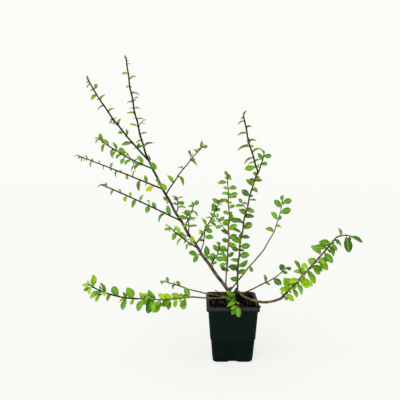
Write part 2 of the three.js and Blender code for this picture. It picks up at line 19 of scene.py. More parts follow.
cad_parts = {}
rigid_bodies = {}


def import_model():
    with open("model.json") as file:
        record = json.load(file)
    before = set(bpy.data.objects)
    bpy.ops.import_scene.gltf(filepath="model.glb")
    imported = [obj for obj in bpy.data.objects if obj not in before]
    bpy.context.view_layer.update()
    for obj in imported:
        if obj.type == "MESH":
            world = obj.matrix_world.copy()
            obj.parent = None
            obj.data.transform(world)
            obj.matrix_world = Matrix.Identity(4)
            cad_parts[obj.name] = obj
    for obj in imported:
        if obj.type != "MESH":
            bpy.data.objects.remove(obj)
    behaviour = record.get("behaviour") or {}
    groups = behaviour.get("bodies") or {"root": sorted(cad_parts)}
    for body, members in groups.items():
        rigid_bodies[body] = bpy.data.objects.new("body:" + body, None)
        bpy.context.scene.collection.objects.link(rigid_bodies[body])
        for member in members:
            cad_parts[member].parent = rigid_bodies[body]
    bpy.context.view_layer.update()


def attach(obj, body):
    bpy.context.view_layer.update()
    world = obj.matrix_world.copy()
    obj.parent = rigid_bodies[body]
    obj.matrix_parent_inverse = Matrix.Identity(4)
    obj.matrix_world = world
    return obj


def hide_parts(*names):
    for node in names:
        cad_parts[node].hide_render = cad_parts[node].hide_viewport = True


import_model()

LOG = logging.getLogger("cotoneaster")
BODY = "root"
MM = 0.001

Triple = tuple[float, float, float]
Pair = tuple[float, float]
Colour = tuple[float, float, float]
Socket = bpy.types.NodeSocket


# Small helpers


def srgb(red: int, green: int, blue: int) -> Colour:
    """Gives the linear colour of a screen colour, whose parts go from 0 to 255."""
    parts = (part / 255 for part in (red, green, blue))
    return tuple(part / 12.92 if part <= 0.04045 else ((part + 0.055) / 1.055) ** 2.4 for part in parts)


def dimmed(colour: Colour, share: float) -> Colour:
    """Gives a colour at a share of its strength."""
    return tuple(share * part for part in colour)


def unit(vector: np.ndarray) -> np.ndarray:
    """Gives a vector's direction with length 1."""
    return vector / np.linalg.norm(vector)


def between(pair: Pair, share: float) -> float:
    """Gives the value that lies at a share of the way from the first to the second."""
    return (1 - share) * pair[0] + share * pair[1]


class Chance:
    """A seeded run of numbers from 0 to 1 that is the same on every machine."""

    SPAN, SPREAD, FACTOR, STEP = 4294967296, 2654435, 1664525, 1013904223

    def __init__(self, seed: int) -> None:
        """Starts the run from the whole number that it depends on.

        Args:
            seed: The whole number.
        """
        self.state = (seed * self.SPREAD) % self.SPAN
        self.draw()
        self.draw()

    def draw(self) -> float:
        """Gives the next number from 0 to 1."""
        self.state = (self.state * self.FACTOR + self.STEP) % self.SPAN
        return self.state / self.SPAN

    def either(self) -> float:
        """Gives the next number from -1 to 1."""
        return 2 * self.draw() - 1

    def pick(self, options: Sequence[Any]) -> Any:
        """Gives one of the options."""
        return options[min(int(self.draw() * len(options)), len(options) - 1)]


@dataclass(frozen=True)
class Pattern:
    """A pattern's scale and detail, and the strengths that it is clipped to."""

    scale: float
    low: float
    high: float
    detail: float = 3.0


def socket_of(sockets: Sequence[Socket], key: str | int) -> Socket:
    """Finds a socket by its number, or by its name, first among those in use."""
    named = [socket for socket in sockets if socket.enabled and socket.name == key]
    return named[0] if named else sockets[key]


class Graph:
    """Adds nodes to a shader or geometry tree and joins them."""

    def __init__(self, tree: bpy.types.NodeTree) -> None:
        """Takes the tree to build in."""
        self.tree = tree

    def plug(self, node: bpy.types.Node, plugs: dict[str | int, Any]) -> None:
        """Sets a node's inputs.

        Args:
            node: The node.
            plugs: Value, colour or output for each input, by its name or number.
        """
        for key, value in plugs.items():
            socket = socket_of(node.inputs, key)
            if isinstance(value, Socket):
                self.tree.links.new(value, socket)
            else:
                socket.default_value = (*value, 1.0) if socket.type == "RGBA" else value

    def add(
        self, kind: str, plugs: dict[str | int, Any] | None = None, output: str | int | None = None,
        **settings: Any,
    ) -> Socket:
        """Adds one node.

        Args:
            kind: Blender's name for the kind of node.
            plugs: Value or output for each input, by its name or number.
            output: Name or number of the output to give, or none for the first in use.
            settings: The node's own properties.

        Returns:
            The output.
        """
        node = self.tree.nodes.new(kind)
        for name, value in settings.items():
            setattr(node, name, value)
        self.plug(node, plugs or {})
        if output is None:
            return next(socket for socket in node.outputs if socket.enabled)
        return node.outputs[output]

    def math(self, operation: str, first: Any, second: Any = 0.0) -> Socket:
        """Adds a sum of two numbers."""
        return self.add("ShaderNodeMath", {0: first, 1: second}, operation=operation)

    def times(self, first: Any, second: Any) -> Socket:
        """Adds a product of two numbers."""
        return self.math("MULTIPLY", first, second)

    def place(self) -> Socket:
        """Adds the place on the object."""
        return self.add("ShaderNodeTexCoord", output="Object")

    def noise(self, place: Socket, scale: Any, detail: float = 3.0) -> Socket:
        """Adds a noise pattern's strength."""
        return self.add("ShaderNodeTexNoise", {"Vector": place, "Scale": scale, "Detail": detail}, "Fac")

    def ranged(self, value: Any, low: float, high: float, first: float = 0.0, last: float = 1.0) -> Socket:
        """Maps low..high to first..last, held at both ends."""
        plugs = {"Value": value, "From Min": low, "From Max": high, "To Min": first, "To Max": last}
        return self.add("ShaderNodeMapRange", plugs)

    def clipped(self, place: Socket, pattern: Pattern) -> Socket:
        """Adds a noise pattern that goes from 0 to 1."""
        return self.ranged(self.noise(place, pattern.scale, pattern.detail), pattern.low, pattern.high)

    def mix(self, share: Socket, first: Any, second: Any) -> Socket:
        """Mixes two colours by a share that goes from 0 to 1."""
        return self.add("ShaderNodeMix", {"Factor": share, "A": first, "B": second}, data_type="RGBA")

    def bump(self, height: Socket, strength: float, distance: float) -> Socket:
        """Adds a surface direction that follows a height."""
        return self.add("ShaderNodeBump", {"Strength": strength, "Distance": distance, "Height": height})


# Finishes


@dataclass(frozen=True)
class Finish:
    """A surface with a name."""

    name: str

    def material(self) -> bpy.types.Material:
        """Gives the finish's material, built once.

        Returns:
            The material.
        """
        found = bpy.data.materials.get(self.name)
        if found:
            return found
        made = bpy.data.materials.new(self.name)
        made.use_nodes = True
        graph = Graph(made.node_tree)
        graph.plug(made.node_tree.nodes["Principled BSDF"], self.looks(graph))
        return made

    def looks(self, graph: Graph) -> dict[str, Any]:
        """Gives the main shader's inputs; each finish has its own."""
        raise NotImplementedError


@dataclass(frozen=True)
class LeafFinish(Finish):
    """The upper or lower side of a leaf: one plain tone, a paler midrib and faint side veins."""

    colour: Colour
    rib: Colour
    roughness: float = 0.4
    rough_span: Pair = (-0.05, 0.08)
    gloss: float = 0.13
    rib_width: float = 0.035
    rib_share: float = 0.55
    rib_sink: float = 2.0
    vein_count: float = 9.0
    vein_slant: float = 0.6
    vein_rise: float = 0.12
    vein_depth: float = 0.0002
    mottle: Pattern = Pattern(320.0, 0.3, 0.7)
    mottle_share: float = 0.28

    def looks(self, graph: Graph) -> dict[str, Any]:
        """Gives the leaf's looks.

        Args:
            graph: The material's tree.

        Returns:
            Value or output for each of the shader's inputs.
        """
        uv = graph.add("ShaderNodeUVMap", uv_map="UVMap")
        parts = graph.add("ShaderNodeSeparateXYZ", {0: uv}).node.outputs
        off_rib = graph.math("ABSOLUTE", graph.math("SUBTRACT", parts[1], 0.5))
        rib = graph.ranged(off_rib, self.rib_width, 2 * self.rib_width, 1.0, 0.0)
        mottle = graph.clipped(graph.place(), self.mottle)
        blade = graph.mix(mottle, dimmed(self.colour, 1 - self.mottle_share), self.colour)
        slanted = graph.math("SUBTRACT", parts[0], graph.times(off_rib, self.vein_slant))
        wave = graph.math("SINE", graph.times(slanted, 2 * math.pi * self.vein_count))
        height = graph.math("ADD", wave, graph.times(rib, -self.rib_sink))
        rough = (self.roughness + part for part in self.rough_span)
        return {
            "Base Color": graph.mix(graph.times(rib, self.rib_share), blade, self.rib),
            "Normal": graph.bump(height, self.vein_rise, self.vein_depth),
            "Roughness": graph.ranged(mottle, 0.0, 1.0, *rough),
            "Specular IOR Level": self.gloss,
        }


@dataclass(frozen=True)
class BarkFinish(Finish):
    """Thin smooth bark with darker streaks along the stem and pale breathing spots.

    Young bark is on stems thinner than the first of ages, and the old colours are on stems thicker
    than the second.
    """

    colour: Colour
    dark: Colour
    pale: Colour
    young: Colour
    ages: Pair = (0.0004, 0.0009)
    young_dark: float = 0.6
    streaks: Pattern = Pattern(900.0, 0.38, 0.62, 4.0)
    patches: Pattern = Pattern(90.0, 0.4, 0.62)
    patch_share: float = 0.45
    spots: Pattern = Pattern(420.0, 0.1, 0.2)
    spot_share: float = 0.6
    spot_rise: float = 1.5
    bump_strength: float = 0.5
    bump_depth: float = 0.0003
    roughness: float = 0.62
    gloss: float = 0.05

    def looks(self, graph: Graph) -> dict[str, Any]:
        """Gives the bark's looks.

        Args:
            graph: The material's tree.

        Returns:
            Value or output for each of the shader's inputs.
        """
        grain = graph.add("ShaderNodeAttribute", output="Vector", attribute_name="grain")
        girth = graph.add("ShaderNodeAttribute", output="Fac", attribute_name="girth")
        streak = graph.clipped(grain, self.streaks)
        patch = graph.clipped(graph.place(), self.patches)
        cells = graph.add("ShaderNodeTexVoronoi", {"Vector": grain, "Scale": self.spots.scale})
        spot = graph.ranged(cells, self.spots.low, self.spots.high, 1.0, 0.0)
        base = graph.mix(streak, self.dark, self.colour)
        worn = graph.mix(graph.times(patch, self.patch_share), base, self.pale)
        old = graph.mix(graph.times(spot, self.spot_share), worn, self.pale)
        tender = graph.mix(streak, dimmed(self.young, self.young_dark), self.young)
        height = graph.math("ADD", streak, graph.times(spot, self.spot_rise))
        return {
            "Base Color": graph.mix(graph.ranged(girth, *self.ages), tender, old),
            "Normal": graph.bump(height, self.bump_strength, self.bump_depth),
            "Roughness": self.roughness,
            "Specular IOR Level": self.gloss,
        }


@dataclass(frozen=True)
class BudFinish(Finish):
    """Small winter buds with darker patches."""

    colour: Colour = srgb(96, 62, 36)
    dark_share: float = 0.45
    patches: Pattern = Pattern(700.0, 0.35, 0.65)
    roughness: float = 0.55

    def looks(self, graph: Graph) -> dict[str, Any]:
        """Gives the bud's looks.

        Args:
            graph: The material's tree.

        Returns:
            Value or output for each of the shader's inputs.
        """
        share = graph.clipped(graph.place(), self.patches)
        base = graph.mix(share, dimmed(self.colour, self.dark_share), self.colour)
        return {"Base Color": base, "Roughness": self.roughness}


@dataclass(frozen=True)
class PotFinish(Finish):
    """Black moulded plastic: satin, faintly uneven, darker below the ledge, with a little dusting all over;
    the rim's upper part carries a pale painted highlight, fainter on its very top.
    """

    colour: Colour = srgb(5, 19, 16)
    foot: Colour = srgb(0, 13, 9)
    # Pale colour of the dusting all over and of the painted highlight on the rim.
    dust_and_highlight: Colour = srgb(62, 72, 66)
    roughness: float = 0.36
    rough_span: float = 0.16
    gloss: float = 0.045
    clouds: Pattern = Pattern(38.0, 0.45, 0.75, 5.0)
    specks: Pattern = Pattern(900.0, 0.62, 0.74, 2.0)
    dust_share: float = 0.04
    # Shares of the painted highlight on the rim's upper band and on its very top.
    rim_highlight_share: float = 0.42
    top_highlight_share: float = 0.35
    foot_top: Pair = (0.0395, 0.0425)
    # Heights where the painted rim highlight comes in, and where it fades on the top.
    rim: Pair = (0.0968, 0.0985)
    rim_top: Pair = (0.1012, 0.1018)
    grain_scale: float = 1500.0
    grain_detail: float = 2.0
    grain_strength: float = 0.06
    grain_depth: float = 0.0002

    def looks(self, graph: Graph) -> dict[str, Any]:
        """Gives the plastic's looks.

        Args:
            graph: The material's tree.

        Returns:
            Value or output for each of the shader's inputs.
        """
        place = graph.place()
        height = graph.add("ShaderNodeSeparateXYZ", {"Vector": place}, "Z")
        cloud, speck = graph.clipped(place, self.clouds), graph.clipped(place, self.specks)
        all_round = graph.times(graph.math("ADD", cloud, speck), self.dust_share)
        # Painted highlight: above the rim's middle the colour is mixed towards the pale colour, much less
        # on the very top.
        face = graph.ranged(height, *self.rim, 0.0, self.rim_highlight_share)
        lip = graph.times(face, graph.ranged(height, *self.rim_top, 1.0, self.top_highlight_share))
        body = graph.mix(graph.ranged(height, *self.foot_top), self.foot, self.colour)
        grain = graph.noise(place, self.grain_scale, self.grain_detail)
        return {
            "Base Color": graph.mix(graph.math("ADD", all_round, lip), body, self.dust_and_highlight),
            "Normal": graph.bump(grain, self.grain_strength, self.grain_depth),
            "Roughness": graph.ranged(cloud, 0.0, 1.0, self.roughness, self.roughness + self.rough_span),
            "Specular IOR Level": self.gloss,
        }


@dataclass(frozen=True)
class CompostFinish(Finish):
    """Moist compost crumb in two near shades."""

    colour: Colour = srgb(11, 11, 6)
    dark: Colour = srgb(2, 2, 1)
    roughness: float = 0.85
    gloss: float = 0.02
    grain: Pattern = Pattern(600.0, 0.4, 0.6, 5.0)
    bump_strength: float = 0.8
    bump_depth: float = 0.0006

    def looks(self, graph: Graph) -> dict[str, Any]:
        """Gives the crumb's looks.

        Args:
            graph: The material's tree.

        Returns:
            Value or output for each of the shader's inputs.
        """
        place = graph.place()
        strength = graph.noise(place, self.grain.scale, self.grain.detail)
        return {
            "Base Color": graph.mix(graph.clipped(place, self.grain), self.dark, self.colour),
            "Normal": graph.bump(strength, self.bump_strength, self.bump_depth),
            "Roughness": self.roughness,
            "Specular IOR Level": self.gloss,
        }


@dataclass(frozen=True)
class StudioFinish(Finish):
    """The plain pale floor, softly lit from within so that it meets the sky without a line."""

    colour: Colour = (0.15, 0.15, 0.145)
    glow: Colour = (0.985, 0.99, 0.955)
    strength: Pair = (0.755, 0.772)
    fade: Pair = (0.5, 8.0)

    def looks(self, graph: Graph) -> dict[str, Any]:
        """Gives the floor's looks, whose glow goes from the first strength to the second.

        Args:
            graph: The material's tree.

        Returns:
            Value or output for each of the shader's inputs.
        """
        away = graph.add("ShaderNodeVectorMath", {0: graph.place()}, "Value", operation="LENGTH")
        return {
            "Base Color": self.colour,
            "Emission Color": self.glow,
            "Emission Strength": graph.ranged(away, *self.fade, *self.strength),
            "Roughness": 1.0,
            "Specular IOR Level": 0.0,
        }


class Tone(Enum):
    """The leaf greens that show on the plant."""

    LIME = "lime"
    FRESH = "fresh"
    MID = "mid"
    DARK = "dark"
    OLIVE = "olive"
    YELLOW = "yellow"


# Upper and lower side of the leaves of each tone
TONES = {
    Tone.LIME: (srgb(152, 202, 14), srgb(146, 190, 30)),
    Tone.FRESH: (srgb(122, 178, 16), srgb(122, 168, 28)),
    Tone.MID: (srgb(92, 150, 18), srgb(100, 148, 30)),
    Tone.DARK: (srgb(56, 112, 18), srgb(76, 120, 32)),
    Tone.OLIVE: (srgb(124, 152, 34), srgb(128, 142, 48)),
    Tone.YELLOW: (srgb(214, 222, 30), srgb(214, 224, 64)),
}
RIB_TONE = srgb(200, 225, 130)


class Bark(Enum):
    """The bark colours of the plant's stems."""

    GREY = "grey"
    BROWN = "brown"
    RED = "red"
    TAN = "tan"
    PINK = "pink"
    UMBER = "umber"
    CROWN = "crown"


# Main, dark, pale and young colour of each bark
BARKS = {
    Bark.GREY: (srgb(76, 62, 38), srgb(30, 23, 12), srgb(146, 130, 92), srgb(34, 26, 14)),
    Bark.BROWN: (srgb(40, 29, 10), srgb(20, 14, 4), srgb(68, 53, 27), srgb(40, 29, 10)),
    Bark.RED: (srgb(92, 68, 36), srgb(42, 30, 15), srgb(166, 146, 98), srgb(62, 44, 22)),
    Bark.TAN: (srgb(92, 74, 42), srgb(36, 27, 13), srgb(168, 150, 104), srgb(60, 46, 24)),
    Bark.PINK: (srgb(112, 86, 62), srgb(66, 48, 34), srgb(154, 130, 100), srgb(88, 64, 44)),
    Bark.UMBER: (srgb(84, 68, 44), srgb(40, 31, 18), srgb(128, 112, 80), srgb(56, 44, 27)),
    Bark.CROWN: (srgb(46, 34, 23), srgb(20, 14, 9), srgb(86, 70, 52), srgb(40, 28, 18)),
}
GREY_AGES = (0.0019, 0.0027)


def bark_finish(bark: Bark) -> BarkFinish:
    """Gives the finish of one bark colour."""
    ages = GREY_AGES if bark is Bark.GREY else BarkFinish.ages
    return BarkFinish(f"bark_{bark.value}", *BARKS[bark], ages)


# Growth: the rule that places every stem and leaf


@dataclass(frozen=True)
class LimbSpec:
    """One bare stem: where it starts and ends, its bow in the middle and its end radii."""

    name: str
    on: str
    tip: Triple
    radii: Pair
    at: float | None = None
    foot: Triple | None = None
    bow: Triple = (0.0, 0.0, 0.0)
    flare: float = 0.0
    bark: Bark = Bark.BROWN


@dataclass(frozen=True)
class LoneLeaf:
    """A single leaf that stands out, by its share of the stem, its aim and its length."""

    share: float
    aim: Triple
    length: float
    tone: Tone | None = None


@dataclass(frozen=True)
class Habit:
    """A habit of leafy growth.

    pitch is the distance between leaf joints, leaf the leaf length at the shoot's foot and tip,
    breadth the width over the length, twin and twigs the shares of joints with a second leaf or a
    side twig, whorl the leaves round the tip, spread the angle off the stem, hang how far a leaf
    droops and face the way its upper side looks. axil is the share of joints with a finer leaf, and
    axil_size its length over the joint leaf's.
    """

    pitch: float
    leaf: Pair
    breadth: float
    twin: float
    twigs: float
    whorl: int
    spread: float
    hang: float
    face: Triple
    forms: tuple[int, ...]
    axil: float
    axil_size: Pair
    bare: float = 0.0
    turn: float = 0.0
    lone: tuple[LoneLeaf, ...] = ()


@dataclass(frozen=True)
class ShootSpec(LimbSpec):
    """A leafy stem with its habit, and the tones of its leaves in order from foot to tip."""

    habit: str = "tuft"
    bare: float = 0.0
    turn: float = 0.0
    pitch: float | None = None
    leaf: Pair | None = None
    lone: tuple[LoneLeaf, ...] = ()
    mass: str | None = None
    tones: tuple[Tone, ...] = (Tone.MID,)

    def full_habit(self) -> Habit:
        """Gives the shoot's habit with its own values in place."""
        own = {name: getattr(self, name) for name in ("bare", "turn", "lone", "pitch", "leaf")}
        return replace(HABITS[self.habit], **{k: v for k, v in own.items() if v is not None})


OPEN, DROOPING, FOLDED = 0, 1, 2

HABITS = {
    "slender": Habit(
        13, (18, 10), 0.5, 0.3, 0.12, 2, 62, 0.2, (0, -0.8, 0.6),
        (FOLDED, DROOPING, FOLDED, FOLDED, OPEN), 0.5, (0.35, 0.65),
    ),
    "upright": Habit(
        9.2, (18, 16), 0.6, 0.3, 0.1, 2, 66, 0.08, (0, -1, 0.5),
        (OPEN, OPEN, DROOPING, OPEN), 0.5, (0.5, 0.8),
    ),
    "lush": Habit(
        7, (25, 22), 0.52, 0.4, 0.14, 1, 60, 0.28, (0, -0.8, 0.6),
        (OPEN, DROOPING), 0.7, (0.5, 0.9),
    ),
    "draped": Habit(
        7, (25, 22), 0.5, 0.4, 0.14, 1, 80, 0.5, (0, -0.8, 0.6),
        (OPEN, DROOPING, OPEN), 0.7, (0.5, 0.9),
    ),
    "sparse": Habit(
        14, (18, 17), 0.6, 0.15, 0, 1, 58, 0.1, (0, -1.1, 0.4),
        (OPEN, OPEN, DROOPING), 0.25, (0.35, 0.6),
    ),
    "tuft": Habit(
        7, (15, 13), 0.6, 0.4, 0, 1, 62, 0.2, (0, -0.8, 0.6),
        (OPEN, DROOPING, OPEN, FOLDED), 0.5, (0.5, 0.85),
    ),
}

CROWN = (
    LimbSpec("crown", "", (-1, 0, 109), (4.4, 3.7), foot=(1, 0, 88), flare=3),
    LimbSpec("crown", "", (-5, 0, 122), (3.7, 3), foot=(-1, 0, 105)),
    LimbSpec("crown", "", (9, -2, 123), (3, 2.8), foot=(-1, 0, 106)),
    LimbSpec("crown", "", (-2, 3, 125), (2, 1.6), foot=(-3, 0, 115)),
)

LIMBS = (
    LimbSpec(
        "main_limb", "crown", (-154, 35, 360), (2.9, 1.5),
        foot=(-5, 0, 117), bow=(-7, 0, -5), bark=Bark.GREY,
    ),
    LimbSpec("centre_bough", "main_limb", (-10, 8, 147), (1.2, 1.1), at=0.03, bark=Bark.PINK),
    LimbSpec("upright_bough", "crown", (9, -6, 135), (1.6, 1.5), foot=(9, -2, 120), bark=Bark.UMBER),
    LimbSpec(
        "thin_bough", "crown", (31, 28, 153), (1.3, 1.25),
        foot=(-3, 2, 119), bow=(0, 0, -1), bark=Bark.TAN,
    ),
    LimbSpec(
        "arch_bough", "crown", (81, -38, 117), (2.3, 1.9),
        foot=(8, -3, 120), bow=(-1, 0, -13), bark=Bark.TAN,
    ),
    LimbSpec(
        "low_bough", "arch_bough", (46, -37, 141), (1, 0.9), at=0.1, bow=(1, 0, -1), bark=Bark.UMBER
    ),
    LimbSpec(
        "long_runner", "crown", (-70, -35, 119), (1.4, 1.2),
        foot=(-1, -2, 107), bow=(0, 0, -2), bark=Bark.TAN,
    ),
    LimbSpec(
        "short_runner", "crown", (-79, 35, 110), (1.4, 1.1),
        foot=(-1, 1, 105), bow=(0, 0, -1), bark=Bark.TAN,
    ),
    LimbSpec(
        "dry_twig", "crown", (-28, 20, 112), (0.7, 0.5),
        foot=(-1, 3, 102), bow=(0, 0, 1), bark=Bark.TAN,
    ),
)

LIME, FRESH, MID, DARK, OLIVE, YELLOW = Tone
UPPER_TONES = (MID, FRESH, MID, OLIVE, FRESH, OLIVE)
INNER_TONES = (FRESH, MID, FRESH, MID)
ERECT_TONES = (MID, DARK, MID, FRESH, MID, FRESH)

SHOOTS = (
    ShootSpec(
        "leader_spray", "main_limb", (-190, 65, 531), (1.6, 1.1), at=1, bow=(-4, 0, -1),
        habit="slender", bare=0.04, turn=200, tones=UPPER_TONES,
    ),
    ShootSpec(
        "second_spray", "main_limb", (-236, -45, 482), (1.5, 1), at=0.955, bow=(-8, 0, 1),
        habit="slender", bare=0.12, turn=115, tones=UPPER_TONES,
    ),
    ShootSpec(
        "third_spray", "main_limb", (-213, -80, 388), (1.25, 0.8), at=0.9, bow=(-6, 0, -1),
        habit="slender", bare=0.12, turn=95, pitch=12, leaf=(16, 15), tones=UPPER_TONES,
    ),
    ShootSpec(
        "fourth_spray", "main_limb", (-295, 120, 353), (1.4, 0.9), at=0.76, bow=(4, 0, -1),
        habit="slender", bare=0.15, turn=80, pitch=14, tones=UPPER_TONES,
        lone=(LoneLeaf(0.1, (-0.85, -0.3, -0.5), 18, YELLOW),),
    ),
    ShootSpec(
        "fifth_spray", "main_limb", (-210, -90, 318), (1.3, 0.9), at=0.53, bow=(-4, 0, 3),
        habit="slender", bare=0.1, turn=75, pitch=15, tones=UPPER_TONES,
    ),
    ShootSpec(
        "side_spray", "main_limb", (-53, 100, 370), (1.2, 0.8), at=0.72, bow=(-4, 0, 0),
        habit="slender", bare=0.15, turn=120, pitch=20, leaf=(22, 15),
        tones=(MID, FRESH, MID, OLIVE),
    ),
    ShootSpec(
        "high_inner_shoot", "main_limb", (-98, 44, 274), (0.9, 0.6), at=0.59, bow=(2, 0, 0),
        bare=0.3, tones=INNER_TONES,
    ),
    ShootSpec(
        "mid_inner_shoot", "main_limb", (-68, 48, 266), (0.9, 0.6), at=0.49, bow=(1, 0, 0),
        bare=0.25, turn=150, tones=INNER_TONES,
    ),
    ShootSpec(
        "mid_front_shoot", "main_limb", (-80, -15, 259), (0.9, 0.6), at=0.44, bow=(2, 0, 0),
        bare=0.3, turn=150, tones=INNER_TONES,
    ),
    ShootSpec(
        "low_inner_shoot", "main_limb", (-21, 60, 269), (1.1, 0.7), at=0.36, bow=(1, 0, -2),
        bare=0.2, turn=120, pitch=8, tones=INNER_TONES,
    ),
    ShootSpec(
        "low_front_shoot", "main_limb", (-108, -45, 243), (1, 0.7), at=0.33, bow=(-2, 0, -1),
        bare=0.15, turn=110, pitch=9, tones=(FRESH, LIME, FRESH),
    ),
    ShootSpec(
        "thin_inner_shoot", "main_limb", (-48, -30, 235), (0.8, 0.6), at=0.3, bow=(1, 0, 0),
        bare=0.45, pitch=9, tones=INNER_TONES,
    ),
    ShootSpec(
        "foot_inner_shoot", "main_limb", (-24, -45, 208), (0.9, 0.6), at=0.2, bow=(2, 0, 0),
        bare=0.25, turn=50, pitch=8.5, tones=(MID, FRESH, MID),
    ),
    ShootSpec(
        "centre_spray", "centre_bough", (-6, 75, 318), (1.15, 0.8), at=1, bow=(4, 0, -2),
        habit="upright", tones=ERECT_TONES, bark=Bark.PINK,
    ),
    ShootSpec(
        "centre_side_twig", "centre_spray", (-27, 30, 246), (0.8, 0.5), at=0.4,
        habit="upright", bare=0.4, leaf=(13, 12), mass="centre_spray", tones=ERECT_TONES,
        bark=Bark.PINK,
    ),
    ShootSpec(
        "upright_spray", "upright_bough", (35, -65, 337), (1.5, 1.1), at=1, bow=(-7, 0, 3),
        habit="upright", leaf=(18, 15), tones=(MID, DARK, MID, DARK, MID, OLIVE),
        bark=Bark.UMBER,
    ),
    ShootSpec(
        "upright_tip_spray", "upright_spray", (10, -85, 423), (1.1, 0.9), at=1, bow=(-2, 0, 0),
        habit="slender", bare=0.02, pitch=10, leaf=(19, 12),
        tones=(FRESH, OLIVE, MID, OLIVE),
    ),
    ShootSpec(
        "upright_fork_shoot", "upright_spray", (46, -52, 362), (0.9, 0.6), at=0.95, bow=(2, 0, 0),
        bare=0.3, leaf=(13, 11), tones=(FRESH, MID),
    ),
    ShootSpec(
        "thin_spray", "thin_bough", (103, 100, 267), (1.25, 0.8), at=1, bow=(11, 0, -6),
        habit="sparse", bare=0.52, turn=135, leaf=(25, 17), pitch=12, tones=(MID, FRESH, MID),
        lone=(LoneLeaf(0.03, (0.3, -0.4, -0.9), 12),), bark=Bark.TAN,
    ),
    ShootSpec(
        "low_spray", "low_bough", (79, -90, 184), (0.9, 0.6), at=1, bow=(2, 0, -2),
        habit="sparse", turn=85, pitch=27, tones=(MID, DARK), bark=Bark.UMBER,
    ),
    ShootSpec(
        "arch_spray", "arch_bough", (163, -70, 230), (1.9, 1.1), at=1, bow=(2, 0, 0),
        habit="draped", bare=0.02, turn=80, pitch=6.8, bark=Bark.RED,
        tones=(LIME, LIME, FRESH, LIME, FRESH, MID, FRESH, MID, MID),
    ),
    ShootSpec(
        "arch_tip_spray", "arch_spray", (183, -75, 234), (1.1, 0.7), at=1, bow=(0, 0, 2),
        habit="draped", bare=0.1, turn=100, pitch=9, bark=Bark.RED, tones=(MID, DARK),
        lone=(LoneLeaf(0.12, (0.75, -0.2, -0.75), 23),),
    ),
    ShootSpec(
        "runner_inner_spray", "long_runner", (-160, -65, 126), (1.2, 0.9), at=1, bow=(0, 0, -3),
        habit="lush", turn=75, leaf=(20, 22), pitch=7.5, bark=Bark.TAN,
        tones=(MID, LIME, FRESH, LIME, MID, DARK, FRESH),
    ),
    ShootSpec(
        "runner_outer_spray", "runner_inner_spray", (-233, -92, 158), (1.1, 0.8), at=1,
        bow=(-3, 0, -5), habit="lush", turn=75, pitch=12, leaf=(22, 17),
        lone=(LoneLeaf(0.96, (0.45, -0.1, 0.9), 18),), tones=(FRESH, MID, FRESH, LIME),
    ),
    ShootSpec(
        "short_runner_spray", "short_runner", (-125, 60, 117), (1.1, 0.8), at=1, bow=(0, 0, 1),
        habit="sparse", bare=0.2, turn=75, leaf=(14, 11), bark=Bark.TAN, tones=(FRESH, MID),
    ),
    # The low leaves by the rim mostly take the dark tone: partly their own darker green, partly painted
    # shade from the plant above.
    ShootSpec(
        "rim_spray", "crown", (5, -55, 109), (0.9, 0.6), foot=(0, -2, 108), bow=(1, 0, 3),
        bare=0.35, turn=50, leaf=(12, 17), pitch=9, tones=(DARK, DARK, MID), bark=Bark.TAN,
        lone=(LoneLeaf(0.97, (-0.5, -0.12, -0.85), 17), LoneLeaf(0.99, (0.2, -0.1, -1), 19)),
    ),
    ShootSpec(
        "crown_shoot", "crown", (4, -19, 114), (0.8, 0.5), foot=(-1, -1, 110), bow=(0, 0, 1),
        bare=0.4, leaf=(11, 10), tones=(FRESH,), bark=Bark.TAN,
        lone=(LoneLeaf(0.97, (-0.75, -0.1, 0.5), 18, MID),),
    ),
)


@dataclass(frozen=True)
class SpurRule:
    """Short side buds with a few leaves on the main limb, the highest with a leaf fallen back."""

    length: float = 9.0
    lean: float = 45.0
    at: tuple[float, ...] = (0.18, 0.235, 0.28, 0.42, 0.66, 0.78, 0.92)
    turn: tuple[float, ...] = (180, 230, 330, 320, 300, 265, 260)
    leaf: tuple[float, ...] = (15, 20, 18, 15, 13, 15, 15)
    fallen: LoneLeaf = LoneLeaf(0.95, (0.65, -0.3, -0.6), 18, FRESH)
    fallen_from: int = 5
    radii: Pair = (0.9, 0.6)
    bare: float = 0.4
    first_turn: float = 90.0
    tones: tuple[Tone, ...] = (FRESH, MID)


@dataclass(frozen=True)
class LeafRule:
    """How leaves sit on a stem and how far chance moves them."""

    sunk: float = 0.4
    face_loose: float = 0.6
    size_loose: float = 0.26
    lean_loose: float = 16.0
    tone_loose: float = 0.3
    fold_loose: float = 0.4
    fold_lean: float = 0.2
    twin_size: float = 0.55
    end_at: float = 0.99
    end_lean: float = 14.0
    whorl_at: float = 0.97
    whorl_size: float = 0.8
    whorl_step: float = 130.0


@dataclass(frozen=True)
class JointRule:
    """How joints follow each other along a stem."""

    first: float = 0.5
    last: float = 0.3
    pitch_loose: float = 0.3
    turn_step: float = 180.0
    turn_loose: float = 36.0
    other_from: float = 90.0
    other_span: float = 180.0


@dataclass(frozen=True)
class TwigRule:
    """Short side twigs, and the pattern of the leaves that they carry."""

    length: Pair = (8, 14)
    radii: Pair = (0.6, 0.4)
    rise: float = 48.0
    leaf_share: float = 0.8
    pitch: float = 5.0
    bare: float = 0.45


@dataclass(frozen=True)
class RoomRule:
    """The room that masses keep between them, and the part of a leaf or twig that is tested."""

    gap: float = 0.5
    leaf_from: float = 0.25
    leaf_to: float = 0.95
    leaf_radius: float = 0.36
    twig_from: float = 0.3
    stem_step: float = 15.0
    pot_half: float = 45.9
    pot_height: float = 102.0


SPURS, LEAF, JOINT, TWIG, ROOM = SpurRule(), LeafRule(), JointRule(), TwigRule(), RoomRule()
SWAY_SIZE, SWAY_WAVE = 0.7, 45.0
SEAT = 0.3
LIMB_SEED, SHOOT_SEED, SPUR_SEED, LEAF_SEED, TWIG_SEED, LOOK_SEED = 1, 21, 61, 6, 1, 900


